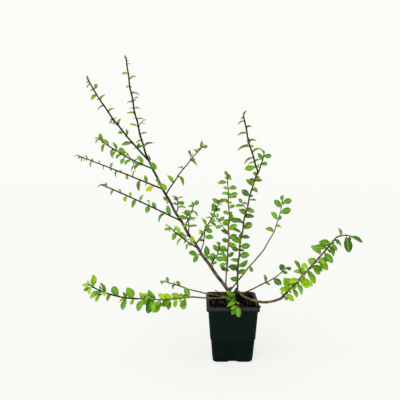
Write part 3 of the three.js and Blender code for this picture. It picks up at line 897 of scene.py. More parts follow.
@dataclass
class Frame:
    """A point on a stem with the directions along it and across it."""

    centre: np.ndarray
    along: np.ndarray
    side: np.ndarray
    lift: np.ndarray

    def aim(self, turn: float, lean: float) -> np.ndarray:
        """Gives the direction off the stem.

        Args:
            turn: Degrees about the stem.
            lean: Degrees off its own line.

        Returns:
            The direction, of length 1.
        """
        bearing, tilt = math.radians(turn), math.radians(lean)
        out = self.side * math.cos(bearing) + self.lift * math.sin(bearing)
        return out * math.sin(tilt) + self.along * math.cos(tilt)


class Limb:
    """A curve from foot to tip with a bow and a slight sway, and a radius that falls evenly."""

    STEP = 1e-4
    STEEP = 0.8

    def __init__(
        self, foot: Any, tip: Any, radii: Pair, seed: int, bow: Triple = (0, 0, 0), flare: float = 0
    ) -> None:
        """Sets the curve out.

        Args:
            foot, tip: Its ends.
            radii: Its radius at each end.
            seed: Decides where its sway starts.
            bow: How far its middle stands off the straight line.
            flare: What its foot is wider by.
        """
        self.foot, self.tip, self.bow = (np.array(v, float) for v in (foot, tip, bow))
        self.radii, self.flare = radii, flare
        self.span = float(np.linalg.norm(self.tip - self.foot))
        heading = (self.tip - self.foot) / self.span
        self.reference = np.array([0.0, 1.0, 0.0] if abs(heading[2]) > self.STEEP else [0.0, 0.0, 1.0])
        self.sway_side = unit(np.cross(heading, self.reference))
        self.phase = Chance(seed).draw() * 2 * math.pi

    def point(self, t: float) -> np.ndarray:
        """Gives the point at a share of the curve.

        Args:
            t: The share.

        Returns:
            The point.
        """
        arch = 4 * t * (1 - t)
        wave = math.sin(2 * math.pi * t * self.span / SWAY_WAVE + self.phase)
        straight = self.foot + (self.tip - self.foot) * t
        return straight + self.bow * arch + self.sway_side * (SWAY_SIZE * arch * wave)

    def radius(self, t: float) -> float:
        """Gives the radius at a share of the curve."""
        return between(self.radii, t) + self.flare * (1 - t) ** 3

    def frame(self, t: float) -> Frame:
        """Gives the point and its directions at a share of the curve.

        Args:
            t: The share.

        Returns:
            The point with its directions.
        """
        low, high = max(t - self.STEP, 0.0), min(t + self.STEP, 1.0)
        along = unit(self.point(high) - self.point(low))
        side = unit(np.cross(along, self.reference))
        return Frame(self.point(t), along, side, np.cross(side, along))


def crown_limbs() -> list[Limb]:
    """Gives the crown's own limbs."""
    return [Limb(s.foot, s.tip, s.radii, LIMB_SEED + i, s.bow, s.flare) for i, s in enumerate(CROWN)]


@dataclass
class Leaf:
    """One leaf as the rule places it, with the looks that it gets."""

    foot: np.ndarray
    axis: np.ndarray
    face: np.ndarray
    length: float
    width: float
    share: float
    tone: Tone | None = None
    form: int | None = None


@dataclass
class Stem:
    """A stem that has grown: its curve, the mass it belongs to and its joints."""

    limb: Limb
    node: str
    bark: Bark
    habit: Habit | None = None
    tones: tuple[Tone, ...] = ()
    joints: list[Pair] = field(default_factory=list)


class Space:
    """The room that stems and leaves take, as rods between two points with a radius."""

    MOST = 6000
    PARALLEL = 1e-9

    def __init__(self) -> None:
        """Makes an empty space."""
        self.a, self.b = np.zeros((self.MOST, 3)), np.zeros((self.MOST, 3))
        self.radius = np.zeros(self.MOST)
        self.owner = np.full(self.MOST, "", dtype=object)
        self.count = 0

    def take(self, node: str, a: np.ndarray, b: np.ndarray, radius: float) -> None:
        """Keeps a rod for one mass.

        Args:
            node: The mass.
            a, b: The rod's ends.
            radius: Its radius.
        """
        i = self.count
        self.a[i], self.b[i], self.radius[i], self.owner[i] = a, b, radius, node
        self.count += 1

    def take_limb(self, node: str, limb: Limb) -> None:
        """Keeps the rods of a whole stem.

        Args:
            node: The mass that it belongs to.
            limb: The stem.
        """
        steps = max(2, math.ceil(limb.span / ROOM.stem_step))
        for i in range(steps):
            a, b = limb.point(i / steps), limb.point((i + 1) / steps)
            self.take(node, a, b, limb.radius(i / steps))

    def in_pot(self, point: np.ndarray, radius: float) -> bool:
        """Tells whether a ball at a point would touch the pot.

        Args:
            point: The ball's middle.
            radius: Its radius.

        Returns:
            True if it would.
        """
        half = ROOM.pot_half + radius
        beside = abs(point[0]) < half and abs(point[1]) < half
        return beside and point[2] < ROOM.pot_height + radius

    def is_clear(self, node: str, a: np.ndarray, b: np.ndarray, radius: float) -> bool:
        """Tells whether a rod keeps its distance from the pot and from other masses.

        Args:
            node: The mass that the rod belongs to, whose own rods don't count.
            a, b: The rod's ends.
            radius: Its radius.

        Returns:
            True if there is room for it.
        """
        if self.in_pot(a, radius) or self.in_pot(b, radius):
            return False
        others = np.flatnonzero(self.owner[: self.count] != node)
        start, end = self.a[others], self.b[others]
        u, v, w = b - a, end - start, a - start
        uu, uv, vv = u @ u, v @ u, np.einsum("ij,ij->i", v, v)
        uw, vw = w @ u, np.einsum("ij,ij->i", v, w)
        slack = uu * vv - uv * uv
        crossing = slack > self.PARALLEL
        safe = np.where(crossing, slack, 1.0)
        s = np.where(crossing, np.clip((uv * vw - vv * uw) / safe, 0, 1), 0)
        t = np.clip((uv * s + vw) / vv, 0, 1)
        s = np.clip((uv * t - uw) / uu, 0, 1)
        gap = np.linalg.norm(w + s[:, None] * u - t[:, None] * v, axis=1)
        return bool(np.all(gap > radius + self.radius[others] + ROOM.gap))


@dataclass(frozen=True)
class FineRule:
    """The finest growth, in the same places: axil leaves, bud twigs and the buds themselves."""

    axil_turn: float = 75.0
    axil_lean: float = 48.0
    axil_loose: float = 15.0
    twig_chance: float = 0.12
    twig_turn: float = 90.0
    twig_loose: float = 60.0
    twig_leaves: tuple[Pair, ...] = ((0.7, 0.0), (0.98, 180.0))
    twig: TwigRule = TwigRule(length=(3.0, 6.0), radii=(0.35, 0.25), rise=40.0)
    bud_length: Pair = (1.1, 2.0)
    bud_turn: float = 20.0
    bud_lean: float = 32.0
    bud_sunk: float = 0.7
    tip_bud: Pair = (1.8, 3.0)
    seed: int = 400


FINE = FineRule()


@dataclass
class Growth:
    """Grows the whole plant: its stems, leaves and buds."""

    stems: list[Stem] = field(default_factory=list)
    leaves: list[Leaf] = field(default_factory=list)
    buds: list[tuple[np.ndarray, np.ndarray, float]] = field(default_factory=list)
    space: Space = field(default_factory=Space)
    looks: Chance = field(default_factory=lambda: Chance(LOOK_SEED))
    grown: dict[str, tuple[Limb, LimbSpec, int]] = field(default_factory=dict)

    def grow(self) -> None:
        """Grows every limb, shoot and spur, in the order of the rule."""
        for limb in crown_limbs():
            self.space.take_limb("crown", limb)
        self.set_limbs(LIMBS, LIMB_SEED)
        self.set_limbs(SHOOTS, SHOOT_SEED)
        self.set_limbs(self.spurs(self.grown["main_limb"][0]), SPUR_SEED)
        for limb, spec, _ in self.grown.values():
            self.space.take_limb(self.node_of(spec), limb)
        for limb, spec, seed in self.grown.values():
            stem = Stem(limb, self.node_of(spec), spec.bark)
            self.stems.append(stem)
            if isinstance(spec, ShootSpec):
                stem.habit, stem.tones = spec.full_habit(), spec.tones
                self.leaf_out(stem, Chance(seed + LEAF_SEED))
        for stem in list(self.stems):
            self.grow_fine(stem)

    @staticmethod
    def node_of(spec: LimbSpec) -> str:
        """Names the mass that a stem belongs to."""
        return getattr(spec, "mass", None) or spec.name

    def set_limbs(self, specs: Sequence[LimbSpec], first_seed: int) -> None:
        """Sets limbs on their parents, each with the next seed for its sway.

        Args:
            specs: The limbs.
            first_seed: The first one's seed.
        """
        for seed, spec in enumerate(specs, first_seed):
            foot = spec.foot
            if foot is None:
                place = self.grown[spec.on][0].frame(spec.at)
                foot = place.centre + (place.along * SEAT if spec.at == 1 else 0)
            limb = Limb(foot, spec.tip, spec.radii, seed, spec.bow, spec.flare)
            self.grown[spec.name] = (limb, spec, seed)

    @staticmethod
    def spurs(main: Limb) -> list[ShootSpec]:
        """Gives the spurs along the main limb.

        Args:
            main: The main limb.

        Returns:
            A shoot for each spur.
        """
        found = []
        for i, (at, turn, leaf) in enumerate(zip(SPURS.at, SPURS.turn, SPURS.leaf)):
            place = main.frame(at)
            tip = tuple(place.centre + place.aim(turn, SPURS.lean) * SPURS.length)
            lone = () if i < SPURS.fallen_from else (SPURS.fallen,)
            found.append(ShootSpec(
                f"spur_{i + 1}", "main_limb", tip, SPURS.radii, at=at, bare=SPURS.bare,
                turn=SPURS.first_turn, leaf=(leaf, leaf), tones=SPURS.tones, lone=lone,
            ))
        return found

    @staticmethod
    def leaf_at(
        limb: Limb, habit: Habit, random: Chance, t: float, turn: float, size: float, lean: float
    ) -> Leaf:
        """Places one leaf.

        Args:
            limb: The stem it grows on.
            habit: The habit it grows by.
            random: The stem's own chance.
            t: Its share of the stem.
            turn: Degrees about the stem.
            size: Its length before chance.
            lean: Degrees off the stem's line.

        Returns:
            The leaf.
        """
        place = limb.frame(t)
        axis = place.aim(turn, lean)
        axis[2] -= habit.hang
        axis = unit(axis)
        jitter = np.array([random.draw() - 0.5, random.draw() - 0.5, random.draw() - 0.5])
        face = np.array(habit.face) + jitter * (2 * LEAF.face_loose)
        face = unit(face - axis * (face @ axis))
        length = size * (1 + LEAF.size_loose * random.either())
        foot = place.centre - axis * (LEAF.sunk * limb.radius(t))
        return Leaf(foot, axis, face, length, length * habit.breadth, t)

    @staticmethod
    def twig_at(limb: Limb, random: Chance, t: float, turn: float, rule: TwigRule) -> Limb:
        """Places a side twig at a share of a stem.

        Args:
            limb: The stem.
            random: The chance that gives its length.
            t: The share.
            turn: Degrees about the stem.
            rule: The kind of twig.

        Returns:
            The twig's curve.
        """
        place = limb.frame(t)
        length = between(rule.length, random.draw())
        tip = place.centre + place.aim(turn, rule.rise) * length
        return Limb(place.centre, tip, rule.radii, TWIG_SEED)

    def sprout(self, stem: Stem, random: Chance) -> tuple[list[Leaf], list[Limb]]:
        """Follows one stem from its bare foot to its tip, joint by joint.

        Args:
            stem: The stem, which keeps the joints.
            random: Its own chance.

        Returns:
            Its leaves and its side twigs.
        """
        habit, limb, turn = stem.habit, stem.limb, stem.habit.turn
        leaves: list[Leaf] = []
        twigs: list[Limb] = []
        pitch = habit.pitch / limb.span
        t = habit.bare + JOINT.first * pitch
        while t < 1 - JOINT.last * pitch:
            size = between(habit.leaf, t)
            own = turn + JOINT.turn_loose * random.either()
            stem.joints.append((t, own))
            lean = habit.spread + LEAF.lean_loose * random.either()
            leaves.append(self.leaf_at(limb, habit, random, t, own, size, lean))
            other = own + JOINT.other_from + JOINT.other_span * random.draw()
            chance = random.draw()
            if chance < habit.twigs:
                twigs.append(self.twig_at(limb, random, t, other, TWIG))
            elif chance < habit.twigs + habit.twin:
                small = size * LEAF.twin_size
                leaves.append(self.leaf_at(limb, habit, random, t, other, small, habit.spread))
            turn += JOINT.turn_step
            t += pitch * (1 + JOINT.pitch_loose * random.either())
        last = habit.leaf[1]
        leaves.append(self.leaf_at(limb, habit, random, LEAF.end_at, turn, last, LEAF.end_lean))
        for i in range(1, habit.whorl + 1):
            around, small = turn + i * LEAF.whorl_step, last * LEAF.whorl_size
            leaves.append(self.leaf_at(limb, habit, random, LEAF.whorl_at, around, small, habit.spread))
        for lone in habit.lone:
            axis = unit(np.array(lone.aim, float))
            face = unit(np.array([0.0, -1.0, 0.0]) + axis * axis[1])
            foot, length = limb.point(lone.share), lone.length
            width = length * habit.breadth
            leaves.append(Leaf(foot, axis, face, length, width, lone.share, lone.tone, OPEN))
        return leaves, twigs

    def leaf_out(self, stem: Stem, random: Chance) -> None:
        """Adds the leaves of one stem, then its side twigs with theirs, each where it has room.

        Args:
            stem: The stem to grow on, with its habit and tones.
            random: Its own chance.
        """
        leaves, twigs = self.sprout(stem, random)
        for leaf in leaves:
            self.add_leaf(stem, leaf)
        for twig in twigs:
            a, b = twig.point(ROOM.twig_from), twig.point(1)
            if not self.space.is_clear(stem.node, a, b, TWIG.radii[0]):
                continue
            self.space.take(stem.node, a, b, TWIG.radii[0])
            leaf = tuple(length * TWIG.leaf_share for length in stem.habit.leaf)
            bare = {"twigs": 0, "twin": 0, "whorl": 0, "lone": ()}
            own = replace(stem.habit, pitch=TWIG.pitch, bare=TWIG.bare, leaf=leaf, **bare)
            side = Stem(twig, stem.node, stem.bark, own, stem.tones)
            self.stems.append(side)
            self.leaf_out(side, random)

    def add_leaf(self, stem: Stem, leaf: Leaf) -> None:
        """Keeps a leaf if it has room, with its tone by its place on the stem, and its form.

        Args:
            stem: The stem it grows on.
            leaf: The leaf.
        """
        a = leaf.foot + leaf.axis * (ROOM.leaf_from * leaf.length)
        b = leaf.foot + leaf.axis * (ROOM.leaf_to * leaf.length)
        radius = ROOM.leaf_radius * leaf.width
        if not self.space.is_clear(stem.node, a, b, radius):
            return
        self.space.take(stem.node, a, b, radius)
        share = leaf.share + LEAF.tone_loose * self.looks.either()
        form = self.looks.pick(stem.habit.forms)
        if leaf.tone is None:
            leaf.tone = stem.tones[min(max(int(share * len(stem.tones)), 0), len(stem.tones) - 1)]
        if leaf.form is None:
            leaf.form = form
        if leaf.form == FOLDED:
            across, forth = (LEAF.fold_loose * self.looks.either() for _ in range(2))
            upward = np.array([across, forth - LEAF.fold_lean, 1.0])
            leaf.face = unit(upward - leaf.axis * (upward @ leaf.axis))
        self.leaves.append(leaf)

    def grow_fine(self, stem: Stem) -> None:
        """Adds finer leaves, bud twigs and buds at the joints of one stem.

        Args:
            stem: A stem that has grown.
        """
        random = Chance(FINE.seed + len(self.buds))
        for t, turn in stem.joints:
            place, beside = stem.limb.frame(t), turn + FINE.bud_turn
            skin = place.centre + place.aim(beside, 90) * stem.limb.radius(t) * FINE.bud_sunk
            length = between(FINE.bud_length, random.draw())
            self.buds.append((skin, place.aim(beside, FINE.bud_lean), length))
            if random.draw() < stem.habit.axil:
                self.add_small(stem, stem.limb, random, t, turn + FINE.axil_turn * random.either())
            if random.draw() < FINE.twig_chance:
                self.add_twiglet(stem, random, t, turn + FINE.twig_turn + FINE.twig_loose * random.either())
        end = stem.limb.frame(1.0)
        self.buds.append((end.centre, end.along, between(FINE.tip_bud, random.draw())))

    def add_small(self, stem: Stem, limb: Limb, random: Chance, t: float, turn: float) -> None:
        """Adds a finer leaf at a share of a stem or of a bud twig on it.

        Args:
            stem: The stem whose habit and mass it has.
            limb: The stem or bud twig that carries it.
            random: The fine growth's own chance.
            t: Its share of that.
            turn: Degrees about it.
        """
        size = between(stem.habit.leaf, t) * between(stem.habit.axil_size, random.draw())
        lean = FINE.axil_lean + FINE.axil_loose * random.either()
        self.add_leaf(stem, self.leaf_at(limb, stem.habit, random, t, turn, size, lean))

    def add_twiglet(self, stem: Stem, random: Chance, t: float, turn: float) -> None:
        """Adds a finer twig with two small leaves.

        Args:
            stem: The stem that carries it.
            random: The fine growth's own chance.
            t: Its share of the stem.
            turn: Degrees about the stem.
        """
        twig = self.twig_at(stem.limb, random, t, turn, FINE.twig)
        self.stems.append(Stem(twig, stem.node, stem.bark))
        for share, side in FINE.twig_leaves:
            self.add_small(stem, twig, random, share, side)


# Making pieces


# Attributes that only the geometry trees use
WORKING = ("turn", "size", "form", "underside", "run", "around", "strewn")
GRAIN_STRETCH = 0.22
FULL_TURN = 6.283
SIZE_SHIFT = 7.0
# Falloff, step and number of the layers in an uneven surface
LAYERS = (1.0, 2.0, 4)


def object_of(name: str, data: bpy.types.ID) -> bpy.types.Object:
    """Puts a mesh, a light or a camera in the scene as an object.

    Args:
        name: The object's name.
        data: What it shows.

    Returns:
        The object.
    """
    made = bpy.data.objects.new(name, data)
    bpy.context.scene.collection.objects.link(made)
    return made


def object_from(name: str, made: bmesh.types.BMesh) -> bpy.types.Object:
    """Turns a working mesh into an object in the scene.

    Args:
        name: The object's name.
        made: The working mesh, which is freed.

    Returns:
        The object.
    """
    mesh = bpy.data.meshes.new(name)
    made.to_mesh(mesh)
    made.free()
    return object_of(name, mesh)


def around(count: int) -> list[Pair]:
    """Gives the cosine and sine of each of a number of even steps round a circle."""
    angles = (2 * math.pi * k / count for k in range(count))
    return [(math.cos(angle), math.sin(angle)) for angle in angles]


def add_rings(made: bmesh.types.BMesh, rings: Iterable[Iterable[Any]], scale: float = MM) -> None:
    """Adds a skin over rings of points, closed at both ends.

    Args:
        made: The working mesh to add to.
        rings: The rings from first to last, each with as many points.
        scale: What their places are scaled by.
    """
    grid = [[made.verts.new(point * scale) for point in ring] for ring in rings]
    for low, high in zip(grid, grid[1:]):
        for k in range(len(low)):
            after = (k + 1) % len(low)
            made.faces.new((low[k], low[after], high[after], high[k]))
    made.faces.new(grid[0][::-1])
    made.faces.new(grid[-1])


def settled(carrier: bpy.types.Object, name: str) -> bpy.types.Object:
    """Keeps what an object's modifiers make of it as a plain mesh.

    Args:
        carrier: The object, which is removed.
        name: Name of the new object.

    Returns:
        The new object, with no modifier.
    """
    graph = bpy.context.evaluated_depsgraph_get()
    mesh = bpy.data.meshes.new_from_object(carrier.evaluated_get(graph))
    bpy.data.objects.remove(carrier)
    mesh.name = name
    return object_of(name, mesh)


def drop_working(mesh: bpy.types.Mesh) -> None:
    """Removes what only the trees use from a finished mesh.

    Args:
        mesh: The mesh.
    """
    for name in WORKING:
        found = mesh.attributes.get(name)
        if found:
            mesh.attributes.remove(found)


def grown_object(
    name: str, source: bpy.types.Mesh, tree: bpy.types.NodeTree, values: dict[str, Any]
) -> bpy.types.Object:
    """Runs a geometry tree on a mesh and keeps the result as a plain mesh.

    Args:
        name: Name of the piece.
        source: Mesh that the tree starts from.
        tree: The geometry tree.
        values: Value of each named input.

    Returns:
        The object with the result and no modifier.
    """
    carrier = object_of(name + "_source", source)
    modifier = carrier.modifiers.new("growth", "NODES")
    modifier.node_group = tree
    for socket in tree.interface.items_tree:
        if socket.item_type == "SOCKET" and socket.name in values:
            modifier[socket.identifier] = values[socket.name]
    carrier.update_tag()
    piece = settled(carrier, name)
    drop_working(piece.data)
    return piece


def finish_piece(
    piece: bpy.types.Object, nodes: Iterable[str] = (), finish: Finish | None = None
) -> None:
    """Fixes a piece to the body and hides the solids it stands for.

    Args:
        piece: The finished piece.
        nodes: The solids that it replaces.
        finish: Its one finish, or none if it has its materials.
    """
    if finish:
        piece.data.materials.clear()
        piece.data.materials.append(finish.material())
    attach(piece, BODY)
    if nodes:
        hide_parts(*sorted(set(nodes)))
    faces = sum(len(face.vertices) - 2 for face in piece.data.polygons)
    LOG.info("%s: %d triangles", piece.name, faces)


class GrowthTree(Graph):
    """A geometry tree with named inputs."""

    def __init__(self, name: str, **inputs: str) -> None:
        """Starts the tree.

        Args:
            name: Its name.
            inputs: Kind of each named input.
        """
        super().__init__(bpy.data.node_groups.new(name, "GeometryNodeTree"))
        for label, kind in {"Geometry": "Geometry", **inputs}.items():
            self.tree.interface.new_socket(label, in_out="INPUT", socket_type=f"NodeSocket{kind}")
        self.tree.interface.new_socket("Geometry", in_out="OUTPUT", socket_type="NodeSocketGeometry")
        self.given = self.add("NodeGroupInput").node.outputs

    def read(self, name: str, kind: str = "FLOAT") -> Socket:
        """Reads a named attribute."""
        return self.add("GeometryNodeInputNamedAttribute", {"Name": name}, data_type=kind)

    def store(self, geometry: Socket, name: str, value: Socket, kind: str = "FLOAT_VECTOR") -> Socket:
        """Stores a value at every point under a name."""
        plugs = {"Geometry": geometry, "Name": name, "Value": value}
        return self.add("GeometryNodeStoreNamedAttribute", plugs, data_type=kind, domain="POINT")

    def scaled(self, vector: Socket, factor: Socket) -> Socket:
        """Scales a vector."""
        return self.add("ShaderNodeVectorMath", {0: vector, "Scale": factor}, operation="SCALE")

    def form(self) -> Socket:
        """Gives the shape of the object in the input named Form."""
        return self.add("GeometryNodeObjectInfo", {"Object": self.given["Form"]}, "Geometry")

    def strew(
        self, points: Socket, form: Socket, turn: Socket | None = None, size: Socket | None = None,
        picked: Socket | None = None,
    ) -> Socket:
        """Sets a form at every point.

        Args:
            points: The points.
            form: The form, or a row of forms.
            turn, size: How it is turned and sized, or none for the points' own turn and size.
            picked: Number of the form in a row of them.

        Returns:
            All the forms as one real mesh.
        """
        turn = self.add("FunctionNodeEulerToRotation", {0: turn or self.read("turn", "FLOAT_VECTOR")})
        size = size or self.read("size", "FLOAT_VECTOR")
        plugs = {"Points": points, "Instance": form, "Rotation": turn, "Scale": size}
        if picked:
            plugs |= {"Pick Instance": True, "Instance Index": picked}
        made = self.add("GeometryNodeInstanceOnPoints", plugs)
        return self.add("GeometryNodeRealizeInstances", {"Geometry": made})

    def dress(self, geometry: Socket, skin: str, part: Socket | bool = True) -> Socket:
        """Gives a part of the geometry the material in a named input."""
        plugs = {"Geometry": geometry, "Selection": part, "Material": self.given[skin]}
        return self.add("GeometryNodeSetMaterial", plugs)

    def end(self, geometry: Socket) -> bpy.types.NodeTree:
        """Gives the tree with this geometry as its result."""
        self.plug(self.tree.nodes.new("NodeGroupOutput"), {0: geometry})
        return self.tree


def sweep_tree() -> bpy.types.NodeTree:
    """Builds the tree that turns centre lines with a girth into stems with bark relief.

    Returns:
        The tree. Its inputs are Sides, Relief, Ridge and Bark.
    """
    tree = GrowthTree("stem_sweep", Sides="Int", Relief="Float", Ridge="Float", Bark="Material")
    line = tree.add("GeometryNodeMeshToCurve", {"Mesh": tree.given["Geometry"]})
    line = tree.store(line, "run", tree.add("GeometryNodeSplineParameter", output="Length"), "FLOAT")
    ring = tree.add("GeometryNodeCurvePrimitiveCircle", {"Resolution": tree.given["Sides"], "Radius": 1.0})
    ring = tree.store(ring, "around", tree.add("GeometryNodeInputPosition"))
    girth = tree.read("girth")
    plugs = {"Curve": line, "Profile Curve": ring, "Scale": girth, "Fill Caps": True}
    skin = tree.add("GeometryNodeCurveToMesh", plugs)
    across = tree.scaled(tree.read("around", "FLOAT_VECTOR"), girth)
    run = tree.add("ShaderNodeCombineXYZ", {"Z": tree.times(tree.read("run"), GRAIN_STRETCH)})
    grain = tree.add("ShaderNodeVectorMath", {0: across, 1: run}, operation="ADD")
    skin = tree.store(skin, "grain", grain)
    height = tree.math("SUBTRACT", tree.noise(grain, tree.given["Ridge"]), 0.5)
    lift = tree.times(tree.times(height, tree.given["Relief"]), girth)
    offset = tree.scaled(tree.add("GeometryNodeInputNormal"), lift)
    skin = tree.add("GeometryNodeSetPosition", {"Geometry": skin, "Offset": offset})
    skin = tree.add("GeometryNodeSetShadeSmooth", {"Geometry": skin})
    return tree.end(tree.dress(skin, "Bark"))


def leaf_tree() -> bpy.types.NodeTree:
    """Builds the tree that sets a leaf of the right form at every point.

    Returns:
        The tree. Its inputs are Forms, Upper and Under; the points carry form, turn and size.
    """
    tree = GrowthTree("leaf_setting", Forms="Collection", Upper="Material", Under="Material")
    plugs = {"Collection": tree.given["Forms"], "Separate Children": True, "Reset Children": True}
    forms = tree.add("GeometryNodeCollectionInfo", plugs)
    leaves = tree.strew(tree.given["Geometry"], forms, picked=tree.read("form", "INT"))
    leaves = tree.dress(leaves, "Upper")
    return tree.end(tree.dress(leaves, "Under", tree.read("underside", "BOOLEAN")))


def setting_tree() -> bpy.types.NodeTree:
    """Builds the tree that sets one small form at every point by its turn and size.

    Returns:
        The tree. Its inputs are Form and Skin.
    """
    tree = GrowthTree("form_setting", Form="Object", Skin="Material")
    return tree.end(tree.dress(tree.strew(tree.given["Geometry"], tree.form()), "Skin"))


def scatter_tree() -> bpy.types.NodeTree:
    """Builds the tree that strews crumbs over the compost's upper faces.

    Returns:
        The tree. Its inputs are Form, Density, Smallest, Largest, Seed and Skin.
    """
    tree = GrowthTree(
        "crumb_scatter", Form="Object", Density="Float", Smallest="Float", Largest="Float",
        Seed="Int", Skin="Material",
    )
    given = tree.given
    plugs = {"Mesh": given["Geometry"], "Selection": tree.read("strewn", "BOOLEAN")}
    plugs |= {name: given[name] for name in ("Density", "Seed")}
    points = tree.add("GeometryNodeDistributePointsOnFaces", plugs)
    turns = {"Min": (0, 0, 0), "Max": (FULL_TURN, FULL_TURN, FULL_TURN), "Seed": given["Seed"]}
    turn = tree.add("FunctionNodeRandomValue", turns, data_type="FLOAT_VECTOR")
    later = tree.math("ADD", given["Seed"], SIZE_SHIFT)
    sizes = {"Min": given["Smallest"], "Max": given["Largest"], "Seed": later}
    size = tree.add("FunctionNodeRandomValue", sizes, data_type="FLOAT")
    return tree.end(tree.dress(tree.strew(points, tree.form(), turn, size), "Skin"))


def turned_points(
    name: str, rows: Sequence[tuple[np.ndarray, np.ndarray, np.ndarray, Triple, int]]
) -> bpy.types.Mesh:
    """Makes a cloud of points that say how the form at each of them is turned and sized.

    Args:
        name: The mesh's name.
        rows: Place, axis, face, size and form of each, in millimetres.

    Returns:
        The cloud, in metres.
    """
    mesh = bpy.data.meshes.new(name)
    mesh.from_pydata([tuple(row[0] * MM) for row in rows], [], [])
    turns: list[float] = []
    sizes: list[float] = []
    for _, axis, face, size, _ in rows:
        turns += Matrix([axis, np.cross(face, axis), face]).transposed().to_euler()
        sizes += [part * MM for part in size]
    mesh.attributes.new("turn", "FLOAT_VECTOR", "POINT").data.foreach_set("vector", turns)
    mesh.attributes.new("size", "FLOAT_VECTOR", "POINT").data.foreach_set("vector", sizes)
    mesh.attributes.new("form", "INT", "POINT").data.foreach_set("value", [row[4] for row in rows])
    return mesh


# The leaves


@dataclass
class LeafBlade:
    """One leaf of length 1 and width 1: a stalk, an oval blade with a short point, and a fold."""

    fold: float
    droop: float
    cup: float
    fold_in: float = 0.35
    stalk: float = 0.1
    stalk_half: float = 0.035
    tip_half: float = 0.03
    belly: float = 1.1
    roundness: float = 0.62
    thick: float = 0.016
    rib_taper: float = 0.6
    rows: tuple[float, ...] = (0.0, 0.12, 0.34, 0.6, 0.82, 0.95, 1.0)
    columns: tuple[float, ...] = (-1.0, -0.5, 0.0, 0.5, 1.0)

    def half(self, share: float) -> float:
        """Gives half the blade's width at a share of its length.

        Args:
            share: The share.

        Returns:
            Half the width.
        """
        if share >= 1:
            return self.tip_half
        return max(self.stalk_half, 0.5 * math.sin(math.pi * share**self.belly) ** self.roundness)

    def build(self, name: str) -> bpy.types.Object:
        """Builds the leaf as a thin closed form.

        Args:
            name: The object's name.

        Returns:
            The object, with a UV map and its underside marked.
        """
        made = bmesh.new()
        uv = made.loops.layers.uv.new("UVMap")
        stations = [(0.0, self.stalk_half, 0.0)]
        stations += [
            (self.stalk + (1 - self.stalk) * share, self.half(share), share) for share in self.rows
        ]
        tops: list[list[bmesh.types.BMVert]] = []
        unders: list[list[bmesh.types.BMVert]] = []
        places: dict[bmesh.types.BMVert, Pair] = {}
        for x, half, share in stations:
            tops.append([])
            unders.append([])
            for column in self.columns:
                y = column * half * (1 - self.fold_in * self.fold)
                z = self.fold * abs(column) * half - self.droop * x * x + self.cup * (column * half) ** 2
                depth = self.thick if column else self.stalk_half * (1 - self.rib_taper * share)
                upper = made.verts.new((x, y, z))
                lower = upper if abs(column) == 1 else made.verts.new((x, y, z - depth))
                places[upper] = places[lower] = (x, (column + 1) / 2)
                tops[-1].append(upper)
                unders[-1].append(lower)
        for grid, order in ((tops, 1), (unders, -1)):
            for near, far in zip(grid, grid[1:]):
                for j in range(len(self.columns) - 1):
                    corners = [near[j], far[j], far[j + 1], near[j + 1]]
                    made.faces.new(corners[::order]).smooth = True
        across = len(made.faces) // 2
        made.faces.new(tops[0][::-1] + unders[0][1:-1])
        made.faces.new(unders[-1][1:-1][::-1] + tops[-1])
        for face in made.faces:
            for loop in face.loops:
                loop[uv].uv = places[loop.vert]
        leaf = object_from(name, made)
        mark = leaf.data.attributes.new("underside", "BOOLEAN", "FACE")
        for index in range(across, 2 * across):
            mark.data[index].value = True
        return leaf


@dataclass
class Foliage:
    """All leaves of the plant, in one piece for each tone."""

    growth: Growth
    forms: tuple[LeafBlade, ...] = (
        LeafBlade(fold=0.1, droop=0.06, cup=0.2),
        LeafBlade(fold=0.2, droop=0.34, cup=0.15),
        LeafBlade(fold=0.35, droop=0.5, cup=0.0),
    )
    under_roughness: float = 0.6
    under_veins: float = 0.3

    def build(self) -> None:
        """Builds and dresses the leaves tone by tone."""
        shelf = bpy.data.collections.new("leaf_forms")
        bpy.context.scene.collection.children.link(shelf)
        for i, form in enumerate(self.forms):
            template = form.build(f"leaf_form_{i}")
            bpy.context.scene.collection.objects.unlink(template)
            shelf.objects.link(template)
        tree = leaf_tree()
        masses = {stem.node for stem in self.growth.stems if stem.habit}
        for tone in Tone:
            rows = [
                (leaf.foot, leaf.axis, leaf.face, (leaf.length, leaf.width, leaf.length), leaf.form)
                for leaf in self.growth.leaves
                if leaf.tone is tone
            ]
            name = f"leaves_{tone.value}"
            values = {"Forms": shelf, **self.skins(tone)}
            piece = grown_object(name, turned_points(name, rows), tree, values)
            finish_piece(piece, masses)
        for template in list(shelf.objects):
            bpy.data.objects.remove(template)
        bpy.data.collections.remove(shelf)

    def skins(self, tone: Tone) -> dict[str, bpy.types.Material]:
        """Gives the materials of the upper and the lower side.

        Args:
            tone: The leaves' tone.

        Returns:
            Both materials by the names of the tree's inputs.
        """
        upper, lower = TONES[tone]
        rib = tuple(0.5 * (a + b) for a, b in zip(lower, RIB_TONE))
        name = f"leaf_{tone.value}"
        under = LeafFinish(
            f"{name}_under", lower, rib, roughness=self.under_roughness, vein_rise=self.under_veins
        )
        return {"Upper": LeafFinish(name, upper, rib).material(), "Under": under.material()}


